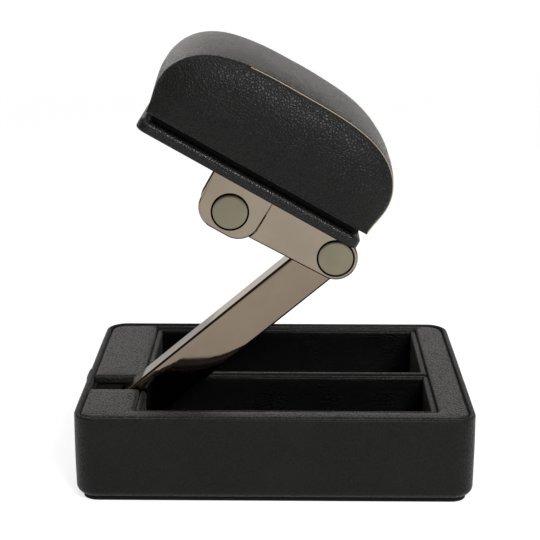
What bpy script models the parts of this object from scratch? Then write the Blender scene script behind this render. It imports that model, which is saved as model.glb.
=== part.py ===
# Watch stand: a leather covered box with two open wells, a folding metal arm and link, and a padded
# cushion that a watch is fastened round.  Metres, +Z up, +X right, +Y away from the front.
# The origin is the centre of the underside.  Run it in Blender: it builds the parts and nothing else.

import math

import bmesh
import bpy
from mathutils import Matrix, Vector

# Clearances and finish of the facets
SEAT_GAP = 0.0003
CUT_OVERRUN = 0.002
WELD_DISTANCE = 0.000001
ARC_STEP = math.radians(11.25)
FLAT_ANGLE = math.radians(1)
SHARP_ANGLE = math.radians(35)
CAP_STEPS = 32
SMALL_STEPS = 20

# Base box
BASE_WIDTH = 0.1210
BASE_DEPTH = 0.0905
BASE_HEIGHT = 0.0272
BASE_CORNER = 0.0070
FOOT_THICKNESS = 0.0012
FOOT_INSET = 0.0022
WRAP_THICKNESS = 0.0015
WRAP_HEM = 0.0060
WRAP_HEM_THICKNESS = 0.0012
WRAP_LOWER_ROUND = 0.0024
WRAP_RIM_ROUND = 0.0006
CORE_FLOOR = 0.0024

# Padded top and its opening
RIM_GROOVE = 0.0005
PAD_THICKNESS = 0.0026
PAD_CORNER = 0.0050
PAD_ROUND = 0.0009
RIM_LEFT = 0.0179
RIM_RIGHT = 0.0109
RIM_FRONT = 0.00785
RIM_REAR = 0.00445
OPENING_CORNER = 0.0012

# Lined wells
LIP_DROP = 0.0008
LINER_WALL = 0.0018
LINER_FLOOR = 0.0012
LIP_ROUND = 0.0007
DIVIDER_LIP = 0.0036

# Arm lane, cut through the left side of the padded top
LANE_FROM_OPENING = 0.0236
LANE_WIDTH = 0.0112
LANE_SILL = 0.0084

# Hinge saddle in the pocket under the lane
POCKET_WALL = 0.0030
SADDLE_PLATE = 0.0016
SADDLE_EAR = 0.0018
SADDLE_EAR_RADIUS = 0.0050
SADDLE_SIDE_PLAY = 0.0004
SADDLE_LEG_HEIGHT = 0.0030
ARM_PIVOT_FROM_WALL = 0.0085
ARM_PIVOT_HEIGHT = 0.01546
SADDLE_SCREW_INSET = 0.0026
SADDLE_SCREW_DEPTH = 0.0014

# Arm
ARM_ANGLE = math.radians(40.2)
ARM_REACH = 0.0866
ARM_WIDTH = 0.0131
ARM_THICKNESS = 0.0090
ARM_TIP_RADIUS = 0.00454
ARM_SHOULDER_BACK = 0.0095
ARM_SHOULDER_RADIUS = 0.0010
ARM_EDGE = 0.00035

# Link
LINK_ANGLE = math.radians(28.2)
LINK_PIN_SPACING = 0.03517
LINK_WIDTH = 0.01356
LINK_CHEEK = 0.0015
LINK_TAIL_RADIUS = 0.00435
LINK_TOP_CORNER = 0.0023
LINK_TOP_LENGTH = 0.0330
LINK_SPINE_START = 0.0150
LINK_SPINE_END = 0.0240
LINK_SPINE_DEPTH = 0.0046
LINK_TONGUE_FOOT = 0.0315
LINK_TONGUE_RISE = 0.0098
LINK_EDGE = 0.00025

# Bracket under the tray
HEAD_ANGLE = math.radians(29.54)
BRACKET_WIDTH = 0.0198
BRACKET_DROP = 0.0071
BRACKET_CORNER = 0.0070
TRAY_HEIGHT_OVER_PIN = 0.0130
BRACKET_STOP = 0.0099
FLANGE_THICKNESS = 0.0017
FLANGE_LEFT = 0.0170
FLANGE_RIGHT = 0.0190
FLANGE_DEPTH = 0.0250
FLANGE_CORNER = 0.0020
FLANGE_SCREW_INSET = 0.0032

# Pins, caps and washers
PIN_RADIUS = 0.0022
CAP_RADIUS = 0.00545
CAP_RING = 0.00035
CAP_THICKNESS = 0.0006
WASHER_RADIUS = 0.0036
WASHER_THICKNESS = 0.0004
WASHER_RECESS = 0.0005
SCREW_HEAD_RADIUS = 0.0018
SCREW_HEAD_HEIGHT = 0.0008
SCREW_SHANK_RADIUS = 0.0010
SCREW_CROWN_SHARE = 0.7

# Tray
TRAY_LENGTH = 0.0717
TRAY_DEPTH = 0.0560
TRAY_OFFSET = 0.00105
TRAY_THICKNESS = 0.0034
TRAY_CORNER = 0.0030
TRAY_SKIN = 0.0008
TRAY_ROUND = 0.0006

# Cushion
CUSHION_LENGTH = 0.0740
CUSHION_DEPTH = 0.0570
CUSHION_OFFSET = 0.0004
CUSHION_HEIGHT = 0.0256
CUSHION_LIFT = 0.0060
CUSHION_WAIST_HEIGHT = 0.0090
CUSHION_DRAW_IN = 0.0011
CUSHION_CROWN = 0.0020
CUSHION_SIDE_CROWN = 0.0005
CUSHION_SKEW = 0.0012
CUSHION_END_BULGE = 0.0015
CUSHION_SKIN = 0.0010
CUSHION_BOARD_SIDE_INSET = 0.0028
CUSHION_BOARD_END_INSET = 0.0035
CUSHION_BOARD_CORNER = 0.0020
CUSHION_TOP_POWER = 3.5
CUSHION_CROWN_POWER = 0.8
CUSHION_LEAN_POWER = 3
CUSHION_LEAN_SHARE = 0.05
CUSHION_WAIST_SHARE = 0.78
CUSHION_PROFILE_STEPS = 26
CUSHION_DEPTH_STEPS = 6
PANEL_CENTRE_SHARE = 0.45
PANEL_SWELL_POWER = 3
PANEL_RING_SHARES = (1.0, 0.86, 0.6, 0.3)

# Places that follow from the sizes above
wrap_bottom = FOOT_THICKNESS + SEAT_GAP
hem_top = wrap_bottom + WRAP_HEM_THICKNESS
core_bottom = hem_top + SEAT_GAP
core_floor_top = core_bottom + CORE_FLOOR
pad_bottom = BASE_HEIGHT - PAD_THICKNESS
core_top = pad_bottom - SEAT_GAP
liner_bottom = core_floor_top + SEAT_GAP
lip_top = BASE_HEIGHT - LIP_DROP
half_width = BASE_WIDTH / 2
half_depth = BASE_DEPTH / 2
opening_left = RIM_LEFT - half_width
opening_right = half_width - RIM_RIGHT
opening_front = RIM_FRONT - half_depth
opening_rear = half_depth - RIM_REAR
lane_centre = opening_front + LANE_FROM_OPENING
lane_front = lane_centre - LANE_WIDTH / 2
lane_rear = lane_centre + LANE_WIDTH / 2
pocket_left = POCKET_WALL - half_width
arm_pivot_x = pocket_left + ARM_PIVOT_FROM_WALL
arm_half = ARM_THICKNESS / 2
fork_half = arm_half + SEAT_GAP
link_half = fork_half + LINK_CHEEK
divider_front = lane_centre + link_half + SEAT_GAP
saddle_half = arm_half + SADDLE_SIDE_PLAY
saddle_outer = saddle_half + SADDLE_EAR
bore_radius = PIN_RADIUS + SEAT_GAP
cap_seat_radius = CAP_RADIUS + CAP_RING
cap_seat_depth = CAP_THICKNESS + SEAT_GAP
elbow_drop = ARM_WIDTH / 2 - ARM_TIP_RADIUS
tilt_drop = LINK_WIDTH / 2 - LINK_TAIL_RADIUS
cushion_bottom = TRAY_HEIGHT_OVER_PIN + CUSHION_LIFT
tray_top = TRAY_HEIGHT_OVER_PIN + TRAY_THICKNESS

LEATHER = (0.022, 0.022, 0.021, 1.0)
BLACK_BOARD = (0.008, 0.008, 0.008, 1.0)
FIBRE_BOARD = (0.25, 0.17, 0.10, 1.0)
POLISHED_METAL = (0.46, 0.42, 0.38, 1.0)
PIN_METAL = (0.40, 0.38, 0.34, 1.0)
SCREW_STEEL = (0.35, 0.35, 0.36, 1.0)
WASHER_NYLON = (0.04, 0.04, 0.04, 1.0)
FOAM = (0.30, 0.30, 0.31, 1.0)


def clear_scene():
    for item in list(bpy.data.objects):
        bpy.data.objects.remove(item, do_unlink=True)


def make_collection(name):
    collection = bpy.data.collections.new(name)
    bpy.context.scene.collection.children.link(collection)
    return collection


def make_material(name, color, roughness, metallic):
    material = bpy.data.materials.new(name)
    material.use_nodes = True
    shader = material.node_tree.nodes["Principled BSDF"]
    shader.inputs["Base Color"].default_value = color
    shader.inputs["Roughness"].default_value = roughness
    shader.inputs["Metallic"].default_value = metallic
    material.diffuse_color = color
    return material


def make_pivot(name, x, z, turn, parent=None):
    # An empty on a joint's axis.  x and z are measured in the frame of the parent, turn is about +Y.
    pivot = bpy.data.objects.new(name, None)
    pivot.location = (x, 0.0 if parent else lane_centre, z)
    pivot.rotation_euler = (0.0, turn, 0.0)
    pivot.parent = parent
    parts.objects.link(pivot)
    return pivot


def add_object(name, mesh, collection, parent=None):
    piece = bpy.data.objects.new(name, mesh)
    piece.parent = parent
    collection.objects.link(piece)
    return piece


def dress(piece, color, roughness, metallic=0.0):
    piece.data.materials.clear()
    piece.data.materials.append(make_material(piece.name + "_finish", color, roughness, metallic))
    piece.data.set_sharp_from_angle(angle=SHARP_ANGLE)
    return piece


def arc_points(centre, radius, start, sweep):
    count = max(2, math.ceil(round(abs(sweep) / ARC_STEP, 3)) + 1)
    angles = [start + sweep * index / (count - 1) for index in range(count)]
    return [(centre[0] + radius * math.cos(a), centre[1] + radius * math.sin(a)) for a in angles]


def rounded_outline(corners):
    # Corners are (x, y, fillet radius) in order; each fillet is an arc tangent to its two sides.
    points = []
    for index, (x, y, radius) in enumerate(corners):
        here = Vector((x, y))
        back = (Vector(corners[index - 1][:2]) - here).normalized()
        ahead = (Vector(corners[(index + 1) % len(corners)][:2]) - here).normalized()
        if radius <= 0.0:
            points.append((x, y))
            continue
        half = back.angle(ahead) / 2
        centre = here + (back + ahead).normalized() * radius / math.sin(half)
        first = here + back * radius / math.tan(half) - centre
        last = here + ahead * radius / math.tan(half) - centre
        start = math.atan2(first.y, first.x)
        sweep = math.atan2(last.y, last.x) - start
        if sweep > math.pi:
            sweep -= 2 * math.pi
        if sweep < -math.pi:
            sweep += 2 * math.pi
        points.extend(arc_points(centre, radius, start, sweep))
    return points


def rounded_box(left, right, front, rear, radius):
    return rounded_outline([(left, front, radius), (right, front, radius),
                            (right, rear, radius), (left, rear, radius)])


def hull_outline(circles):
    # The outline of a band stretched round circles (x, z, radius).
    cloud = []
    for x, z, radius in circles:
        cloud.extend(arc_points((x, z), radius, 0.0, 2 * math.pi)[:-1] if radius > 0.0 else [(x, z)])
    cloud = sorted(set(cloud))
    halves = []
    for run in (cloud, cloud[::-1]):
        chain = []
        for point in run:
            while len(chain) > 1 and turn_of(chain[-2], chain[-1], point) <= 0.0:
                chain.pop()
            chain.append(point)
        halves.extend(chain[:-1])
    return halves


def turn_of(a, b, c):
    return (b[0] - a[0]) * (c[1] - a[1]) - (b[1] - a[1]) * (c[0] - a[0])


def plate_mesh(name, outlines, low, high, upright=False):
    # A flat outline drawn as a 2D curve, given its thickness, and turned into a welded mesh.
    # Lying plates are drawn in X and Y and run from low to high in Z.
    # Upright plates are drawn in X and Z and run from low to high in Y.
    curve = bpy.data.curves.new(name, "CURVE")
    curve.dimensions = "2D"
    curve.fill_mode = "BOTH"
    curve.extrude = (high - low) / 2
    for outline in outlines:
        spline = curve.splines.new("POLY")
        spline.points.add(len(outline) - 1)
        for point, (x, y) in zip(spline.points, outline):
            point.co = (x, y, 0.0, 1.0)
        spline.use_cyclic_u = True
    holder = add_object(name + "_curve", curve, cutters)
    bpy.context.view_layer.update()
    evaluated = holder.evaluated_get(bpy.context.evaluated_depsgraph_get())
    mesh = bpy.data.meshes.new_from_object(evaluated)
    bpy.data.objects.remove(holder, do_unlink=True)
    bpy.data.curves.remove(curve)
    middle = (high + low) / 2
    if upright:
        mesh.transform(Matrix.Translation((0.0, middle, 0.0)) @ Matrix.Rotation(math.pi / 2, 4, "X"))
    else:
        mesh.transform(Matrix.Translation((0.0, 0.0, middle)))
    weld(mesh)
    mesh.name = name
    return mesh


def weld(mesh):
    work = bmesh.new()
    work.from_mesh(mesh)
    bmesh.ops.remove_doubles(work, verts=work.verts, dist=WELD_DISTANCE)
    bmesh.ops.dissolve_degenerate(work, edges=work.edges, dist=WELD_DISTANCE)
    bmesh.ops.recalc_face_normals(work, faces=work.faces)
    work.to_mesh(mesh)
    work.free()


def round_edges(mesh, width, segments, wanted):
    # Rounds the edges for which wanted(edge) is true.
    work = bmesh.new()
    work.from_mesh(mesh)
    bmesh.ops.dissolve_limit(work, angle_limit=FLAT_ANGLE, verts=work.verts, edges=work.edges)
    chosen = [edge for edge in work.edges if len(edge.link_faces) == 2 and wanted(edge)]
    bmesh.ops.bevel(work, geom=chosen, offset=width, offset_type="OFFSET", segments=segments,
                    profile=0.5, affect="EDGES", clamp_overlap=True)
    bmesh.ops.recalc_face_normals(work, faces=work.faces)
    work.to_mesh(mesh)
    work.free()


def level_edge(axis, value):
    # Picks the edges that lie in the plane where the given coordinate has the given value.
    def wanted(edge):
        return all(abs(vertex.co[axis] - value) < WELD_DISTANCE for vertex in edge.verts)
    return wanted


def make_cutter(name, mesh, parent=None):
    cutter = add_object(name, mesh, cutters, parent)
    cutter.hide_render = True
    cutter.display_type = "WIRE"
    return cutter


def box_cutter(name, low, high, parent=None):
    bpy.ops.mesh.primitive_cube_add(size=1.0)
    made = bpy.context.active_object
    mesh = made.data
    bpy.data.objects.remove(made, do_unlink=True)
    size = Vector(high) - Vector(low)
    middle = (Vector(high) + Vector(low)) / 2
    mesh.transform(Matrix.Translation(middle) @ Matrix.Diagonal((*size, 1.0)))
    return make_cutter(name, mesh, parent)


def rod_cutter(name, x, z, radius, low, high, parent=None):
    # A cylinder along Y from low to high.
    outline = arc_points((x, z), radius, 0.0, 2 * math.pi)[:-1]
    return make_cutter(name, plate_mesh(name, [outline], low, high, upright=True), parent)


def post_cutter(name, x, y, radius, low, high, parent=None):
    # A cylinder along Z from low to high.
    outline = arc_points((x, y), radius, 0.0, 2 * math.pi)[:-1]
    return make_cutter(name, plate_mesh(name, [outline], low, high), parent)


def combine(piece, other, operation):
    modifier = piece.modifiers.new(operation.lower() + "_" + other.name, "BOOLEAN")
    modifier.operation = operation
    modifier.solver = "EXACT"
    modifier.object = other


def cut(piece, *others):
    for other in others:
        combine(piece, other, "DIFFERENCE")


def join(piece, *others):
    for other in others:
        combine(piece, other, "UNION")


def turned(name, profile, closed, parent, place, steps, along_y=True):
    # A turned piece: (radius, height) points, spun about the piece's own axis with Screw.
    mesh = bpy.data.meshes.new(name)
    edges = [(index, index + 1) for index in range(len(profile) - 1)]
    if closed:
        edges.append((len(profile) - 1, 0))
    mesh.from_pydata([(radius, 0.0, height) for radius, height in profile], edges, [])
    piece = add_object(name, mesh, parts, parent)
    screw = piece.modifiers.new("spin", "SCREW")
    screw.steps = steps
    screw.render_steps = steps
    screw.use_merge_vertices = True
    screw.merge_threshold = WELD_DISTANCE
    screw.use_smooth_shade = True
    piece.location = place
    if along_y:
        piece.rotation_euler = (math.pi / 2, 0.0, 0.0)
    return piece


def make_base():
    def inset_box(inset, corner):
        side = half_width - inset
        end = half_depth - inset
        return rounded_box(-side, side, -end, end, corner)

    foot = add_object("foot_plate", plate_mesh(
        "foot_plate", [inset_box(FOOT_INSET, BASE_CORNER - FOOT_INSET)], 0.0, FOOT_THICKNESS), parts)
    dress(foot, BLACK_BOARD, 0.7)

    wrap_mesh = plate_mesh("base_wrap", [inset_box(0.0, BASE_CORNER)], wrap_bottom, BASE_HEIGHT)
    round_edges(wrap_mesh, WRAP_LOWER_ROUND, 3, level_edge(2, wrap_bottom))
    round_edges(wrap_mesh, WRAP_RIM_ROUND, 2, level_edge(2, BASE_HEIGHT))
    wrap = add_object("base_wrap", wrap_mesh, parts)
    wrap_inside = make_cutter("wrap_inside", plate_mesh("wrap_inside", [inset_box(
        WRAP_THICKNESS, BASE_CORNER - WRAP_THICKNESS)], hem_top, BASE_HEIGHT + CUT_OVERRUN))
    hem_opening = make_cutter("hem_opening", plate_mesh("hem_opening", [inset_box(
        WRAP_HEM, BASE_CORNER / 2)], wrap_bottom - CUT_OVERRUN, hem_top + CUT_OVERRUN))
    cut(wrap, wrap_inside, hem_opening)
    dress(wrap, LEATHER, 0.5)

    core_inset = WRAP_THICKNESS + SEAT_GAP
    core = add_object("base_core", plate_mesh(
        "base_core", [inset_box(core_inset, BASE_CORNER - core_inset)], core_bottom, core_top), parts)
    well = box_cutter("well", (opening_left, opening_front, core_floor_top),
                      (opening_right, opening_rear, core_top + CUT_OVERRUN))
    pocket_half = saddle_outer + SEAT_GAP
    pocket = box_cutter("hinge_pocket", (pocket_left, lane_centre - pocket_half, core_floor_top),
                        (opening_left + CUT_OVERRUN, lane_centre + pocket_half, core_top + CUT_OVERRUN))
    pilots = [post_cutter("pilot_%d" % number, x, lane_centre, SCREW_SHANK_RADIUS + SEAT_GAP,
                          core_floor_top - SADDLE_SCREW_DEPTH - SEAT_GAP, core_floor_top + CUT_OVERRUN)
              for number, x in enumerate(saddle_screw_places(), 1)]
    cut(core, well, pocket, *pilots)
    dress(core, FIBRE_BOARD, 0.8)


def saddle_span():
    # The saddle's left and right ends in the pocket.
    return pocket_left + SEAT_GAP, opening_left - SEAT_GAP


def saddle_screw_places():
    left, right = saddle_span()
    return left + SADDLE_SCREW_INSET, right - SADDLE_SCREW_INSET


def make_rim_pad():
    inset = WRAP_THICKNESS + RIM_GROOVE
    side = BASE_WIDTH / 2 - inset
    end = BASE_DEPTH / 2 - inset
    # One C-shaped outline: round the outside, then back round the opening to the lane's two edges.
    outline = rounded_outline([
        (-side, lane_front, OPENING_CORNER / 2), (-side, -end, PAD_CORNER), (side, -end, PAD_CORNER),
        (side, end, PAD_CORNER), (-side, end, PAD_CORNER), (-side, lane_rear, OPENING_CORNER / 2),
        (opening_left, lane_rear, OPENING_CORNER / 2), (opening_left, opening_rear, OPENING_CORNER),
        (opening_right, opening_rear, OPENING_CORNER), (opening_right, opening_front, OPENING_CORNER),
        (opening_left, opening_front, OPENING_CORNER), (opening_left, lane_front, OPENING_CORNER / 2)])
    mesh = plate_mesh("rim_pad", [outline], pad_bottom, BASE_HEIGHT)
    round_edges(mesh, PAD_ROUND, 2, level_edge(2, BASE_HEIGHT))
    dress(add_object("rim_pad", mesh, parts), LEATHER, 0.45)


def make_liner(name, front, rear, front_wall, rear_wall):
    # A leather lined well: a ring of walls with rounded lips, joined to its floor.
    left = opening_left + SEAT_GAP
    right = opening_right - SEAT_GAP
    outside = rounded_box(left, right, front, rear, OPENING_CORNER)
    inside = rounded_box(left + LINER_WALL, right - LINER_WALL, front + front_wall, rear - rear_wall,
                         OPENING_CORNER / 2)
    mesh = plate_mesh(name, [outside, inside], liner_bottom, lip_top)
    round_edges(mesh, LIP_ROUND, 2, level_edge(2, lip_top))
    liner = add_object(name, mesh, parts)
    half_wall = LINER_WALL / 2
    floor = make_cutter(name + "_floor", plate_mesh(name + "_floor", [rounded_box(
        left + half_wall, right - half_wall, front + half_wall, rear - half_wall, OPENING_CORNER / 2)],
        liner_bottom, liner_bottom + LINER_FLOOR))
    join(liner, floor)
    dress(liner, LEATHER, 0.6)
    return liner


def make_liners():
    split = divider_front + LINER_WALL
    front_liner = make_liner("front_liner", opening_front + SEAT_GAP, split, LINER_WALL, LINER_WALL)
    lane = box_cutter("lane_notch", (opening_left - CUT_OVERRUN, lane_front, LANE_SILL),
                      (opening_left + LINER_WALL + CUT_OVERRUN, lane_rear, lip_top + CUT_OVERRUN))
    cut(front_liner, lane)
    make_liner("rear_liner", split + SEAT_GAP, opening_rear - SEAT_GAP, DIVIDER_LIP, LINER_WALL)


def make_saddle():
    # Drawn about the arm's pivot, so x and z here are measured from the pin.
    left, right = (x - arm_pivot_x for x in saddle_span())
    bottom = liner_bottom - ARM_PIVOT_HEIGHT
    shoulder = bottom + SADDLE_LEG_HEIGHT
    outline = hull_outline([(left, bottom, 0.0), (right, bottom, 0.0), (left, shoulder, 0.0),
                            (right, shoulder, 0.0), (0.0, 0.0, SADDLE_EAR_RADIUS)])
    saddle = add_object("hinge_saddle", plate_mesh(
        "hinge_saddle", [outline], -saddle_outer, saddle_outer, upright=True), parts, base_pivot)
    plate_top = bottom + SADDLE_PLATE
    gap = box_cutter("saddle_gap", (left - CUT_OVERRUN, -saddle_half, plate_top),
                     (right + CUT_OVERRUN, saddle_half, SADDLE_EAR_RADIUS + CUT_OVERRUN), base_pivot)
    bore = rod_cutter("saddle_bore", 0.0, 0.0, bore_radius, -saddle_outer - CUT_OVERRUN,
                      saddle_outer + CUT_OVERRUN, base_pivot)
    holes = [post_cutter("saddle_hole_%d" % number, x - arm_pivot_x, 0.0, SCREW_SHANK_RADIUS + SEAT_GAP,
                         bottom - CUT_OVERRUN, plate_top + CUT_OVERRUN, base_pivot)
             for number, x in enumerate(saddle_screw_places(), 1)]
    cut(saddle, gap, bore, *holes)
    dress(saddle, SCREW_STEEL, 0.35, 1.0)

    for number, x in enumerate(saddle_screw_places(), 1):
        make_screw("saddle_screw_%d" % number, (x - arm_pivot_x, 0.0, plate_top + SEAT_GAP),
                   SADDLE_PLATE + SADDLE_SCREW_DEPTH + SEAT_GAP, base_pivot, False)

    pin = turned("hinge_pin", [(0.0, saddle_outer), (PIN_RADIUS, saddle_outer),
                               (PIN_RADIUS, -saddle_outer), (0.0, -saddle_outer)],
                 False, base_pivot, (0.0, 0.0, 0.0), SMALL_STEPS)
    dress(pin, SCREW_STEEL, 0.3, 1.0)
    make_washers("hinge_washer", saddle_half, base_pivot)


def make_screw(name, place, shank_length, parent, upside_down):
    # A pan head screw whose shank points down, or up where upside_down is true.
    profile = [(0.0, SCREW_HEAD_HEIGHT), (SCREW_HEAD_RADIUS * SCREW_CROWN_SHARE, SCREW_HEAD_HEIGHT),
               (SCREW_HEAD_RADIUS, SCREW_HEAD_HEIGHT / 2), (SCREW_HEAD_RADIUS, 0.0),
               (SCREW_SHANK_RADIUS, 0.0), (SCREW_SHANK_RADIUS, -shank_length), (0.0, -shank_length)]
    screw = turned(name, profile, False, parent, place, SMALL_STEPS, along_y=False)
    if upside_down:
        screw.rotation_euler = (math.pi, 0.0, 0.0)
    dress(screw, SCREW_STEEL, 0.35, 1.0)


def make_washers(name, seat_half, parent):
    # Two friction washers, each half sunk in a recess in the face of the middle piece.
    room = seat_half - (arm_half - WASHER_RECESS)
    low = arm_half - WASHER_RECESS + (room - WASHER_THICKNESS) / 2
    for side, word in ((-1, "front"), (1, "rear")):
        inner = PIN_RADIUS + SEAT_GAP
        ends = sorted((side * low, side * (low + WASHER_THICKNESS)))
        # The piece's own axis points along -Y once it is turned, so the ends change sign.
        bottom, top = -ends[1], -ends[0]
        washer = turned("%s_%s" % (name, word),
                        [(inner, top), (WASHER_RADIUS, top), (WASHER_RADIUS, bottom), (inner, bottom)],
                        True, parent, (0.0, 0.0, 0.0), SMALL_STEPS)
        dress(washer, WASHER_NYLON, 0.5)


def bore_and_recesses(name, x, z, parent):
    # The cutters for one pin through the middle piece, with a washer recess in each face.
    reach = arm_half + CUT_OVERRUN
    recess_radius = WASHER_RADIUS + SEAT_GAP
    seat = arm_half - WASHER_RECESS
    return [rod_cutter(name + "_bore", x, z, bore_radius, -reach, reach, parent),
            rod_cutter(name + "_front_recess", x, z, recess_radius, -reach, -seat, parent),
            rod_cutter(name + "_rear_recess", x, z, recess_radius, seat, reach, parent)]


def make_arm():
    # Drawn from the pivot along the arm; the elbow pin sits below the arm's middle line.
    edge = ARM_WIDTH / 2
    shoulder_x = ARM_REACH - ARM_SHOULDER_BACK
    outline = hull_outline([(0.0, 0.0, edge), (ARM_REACH, -elbow_drop, ARM_TIP_RADIUS),
                            (shoulder_x, edge - ARM_SHOULDER_RADIUS, ARM_SHOULDER_RADIUS)])
    mesh = plate_mesh("arm", [outline], -arm_half, arm_half, upright=True)
    for face in (-arm_half, arm_half):
        round_edges(mesh, ARM_EDGE, 1, level_edge(1, face))
    arm = add_object("arm", mesh, parts, arm_pivot)
    cut(arm, *bore_and_recesses("arm_foot", 0.0, 0.0, arm_pivot),
        *bore_and_recesses("arm_tip", ARM_REACH, -elbow_drop, arm_pivot))
    dress(arm, POLISHED_METAL, 0.2, 1.0)


def bracket_outline(growth):
    # The D seen from the front, about the tilt pin: straight sides, two large corners below.
    side = BRACKET_WIDTH / 2
    corner_x = side - BRACKET_CORNER
    corner_z = BRACKET_CORNER - BRACKET_DROP
    top = TRAY_HEIGHT_OVER_PIN - SEAT_GAP + growth
    return hull_outline([(-corner_x, corner_z, BRACKET_CORNER + growth),
                         (corner_x, corner_z, BRACKET_CORNER + growth),
                         (-side - growth, top, 0.0), (side + growth, top, 0.0)])


def make_link():
    # Drawn about the elbow pin.  It runs towards -X here, and is open below between its cheeks.
    edge = LINK_WIDTH / 2
    outline = hull_outline([(0.0, 0.0, edge), (-LINK_PIN_SPACING, -tilt_drop, LINK_TAIL_RADIUS),
                            (-LINK_TOP_LENGTH, edge - LINK_TOP_CORNER, LINK_TOP_CORNER)])
    mesh = plate_mesh("link", [outline], -link_half, link_half, upright=True)
    for face in (-link_half, link_half):
        round_edges(mesh, LINK_EDGE, 1, level_edge(1, face))
    link = add_object("link", mesh, parts, elbow_pivot)

    reach = edge + CUT_OVERRUN
    spine_low = edge - LINK_SPINE_DEPTH
    fork_outline = [(reach, reach), (-LINK_SPINE_START, reach), (-LINK_SPINE_START, spine_low),
                    (-LINK_SPINE_END, spine_low), (-LINK_TONGUE_FOOT, edge - LINK_TONGUE_RISE),
                    (-LINK_TONGUE_FOOT, -reach), (reach, -reach)]
    fork = make_cutter("link_fork", plate_mesh(
        "link_fork", [fork_outline], -fork_half, fork_half, upright=True), elbow_pivot)
    outer = link_half + CUT_OVERRUN
    # The bracket's cheeks lie flush with the link's, so the link is thinned behind them.
    seats = [make_cutter("link_%s_seat" % word, plate_mesh(
        "link_%s_seat" % word, [bracket_outline(SEAT_GAP)], low, high, upright=True), tilt_pivot)
        for word, low, high in (("front", -outer, -arm_half), ("rear", arm_half, outer))]
    cut(link, fork, *seats, *cap_cutters("link", elbow_pivot),
        *bore_and_recesses("link_tail", -LINK_PIN_SPACING, -tilt_drop, elbow_pivot))
    dress(link, POLISHED_METAL, 0.2, 1.0)
    make_pin("elbow_pin", elbow_pivot)
    make_washers("elbow_washer", fork_half, elbow_pivot)
    make_washers("tilt_washer", fork_half, tilt_pivot)


def cap_cutters(name, parent):
    # The bore through both cheeks, and the sunk seats for the pin's two caps.
    outer = link_half + CUT_OVERRUN
    seat = link_half - cap_seat_depth
    return [rod_cutter(name + "_bore", 0.0, 0.0, bore_radius, -outer, outer, parent),
            rod_cutter(name + "_front_cap_seat", 0.0, 0.0, cap_seat_radius, -outer, -seat, parent),
            rod_cutter(name + "_rear_cap_seat", 0.0, 0.0, cap_seat_radius, seat, outer, parent)]


def make_pin(name, parent):
    # A shaft with a flat cap on its front end, and the loose cap that closes its rear end.
    front = link_half
    cap_back = front - CAP_THICKNESS
    shaft_end = -cap_back + SEAT_GAP
    pin = turned(name, [(0.0, front), (CAP_RADIUS, front), (CAP_RADIUS, cap_back), (PIN_RADIUS, cap_back),
                        (PIN_RADIUS, shaft_end), (0.0, shaft_end)],
                 False, parent, (0.0, 0.0, 0.0), CAP_STEPS)
    dress(pin, PIN_METAL, 0.3, 1.0)
    cap = turned(name + "_cap", [(0.0, -cap_back), (CAP_RADIUS, -cap_back),
                                 (CAP_RADIUS, -front), (0.0, -front)],
                 False, parent, (0.0, 0.0, 0.0), CAP_STEPS)
    dress(cap, PIN_METAL, 0.3, 1.0)


def flange_screw_places():
    left = -FLANGE_LEFT + FLANGE_SCREW_INSET
    right = FLANGE_RIGHT - FLANGE_SCREW_INSET
    side = FLANGE_DEPTH / 2 - FLANGE_SCREW_INSET
    return [(x, y) for x in (left, right) for y in (-side, side)]


def make_bracket():
    bracket = add_object("bracket", plate_mesh(
        "bracket", [bracket_outline(0.0)], -link_half, link_half, upright=True), parts, tilt_pivot)
    side = BRACKET_WIDTH / 2 + CUT_OVERRUN
    gap = box_cutter("bracket_gap", (-side, -fork_half, -BRACKET_DROP - CUT_OVERRUN),
                     (side, fork_half, BRACKET_STOP), tilt_pivot)
    top = TRAY_HEIGHT_OVER_PIN - SEAT_GAP
    bottom = top - FLANGE_THICKNESS
    half_flange = FLANGE_DEPTH / 2
    flange = make_cutter("bracket_flange", plate_mesh("bracket_flange", [rounded_box(
        -FLANGE_LEFT, FLANGE_RIGHT, -half_flange, half_flange, FLANGE_CORNER)], bottom, top), tilt_pivot)
    holes = [post_cutter("flange_hole_%d" % number, x, y, SCREW_SHANK_RADIUS + SEAT_GAP,
                         bottom - CUT_OVERRUN, top + CUT_OVERRUN, tilt_pivot)
             for number, (x, y) in enumerate(flange_screw_places(), 1)]
    cut(bracket, gap)
    join(bracket, flange)
    cut(bracket, *cap_cutters("bracket", tilt_pivot), *holes)
    dress(bracket, POLISHED_METAL, 0.2, 1.0)
    make_pin("tilt_pin", tilt_pivot)
    for number, (x, y) in enumerate(flange_screw_places(), 1):
        make_screw("bracket_screw_%d" % number, (x, y, bottom - SEAT_GAP),
                   flange_screw_length(), tilt_pivot, True)


def flange_screw_length():
    # From under the head, through the flange, into the tray board by most of its thickness.
    return FLANGE_THICKNESS + 2 * SEAT_GAP + (TRAY_THICKNESS - TRAY_SKIN) / 2


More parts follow.
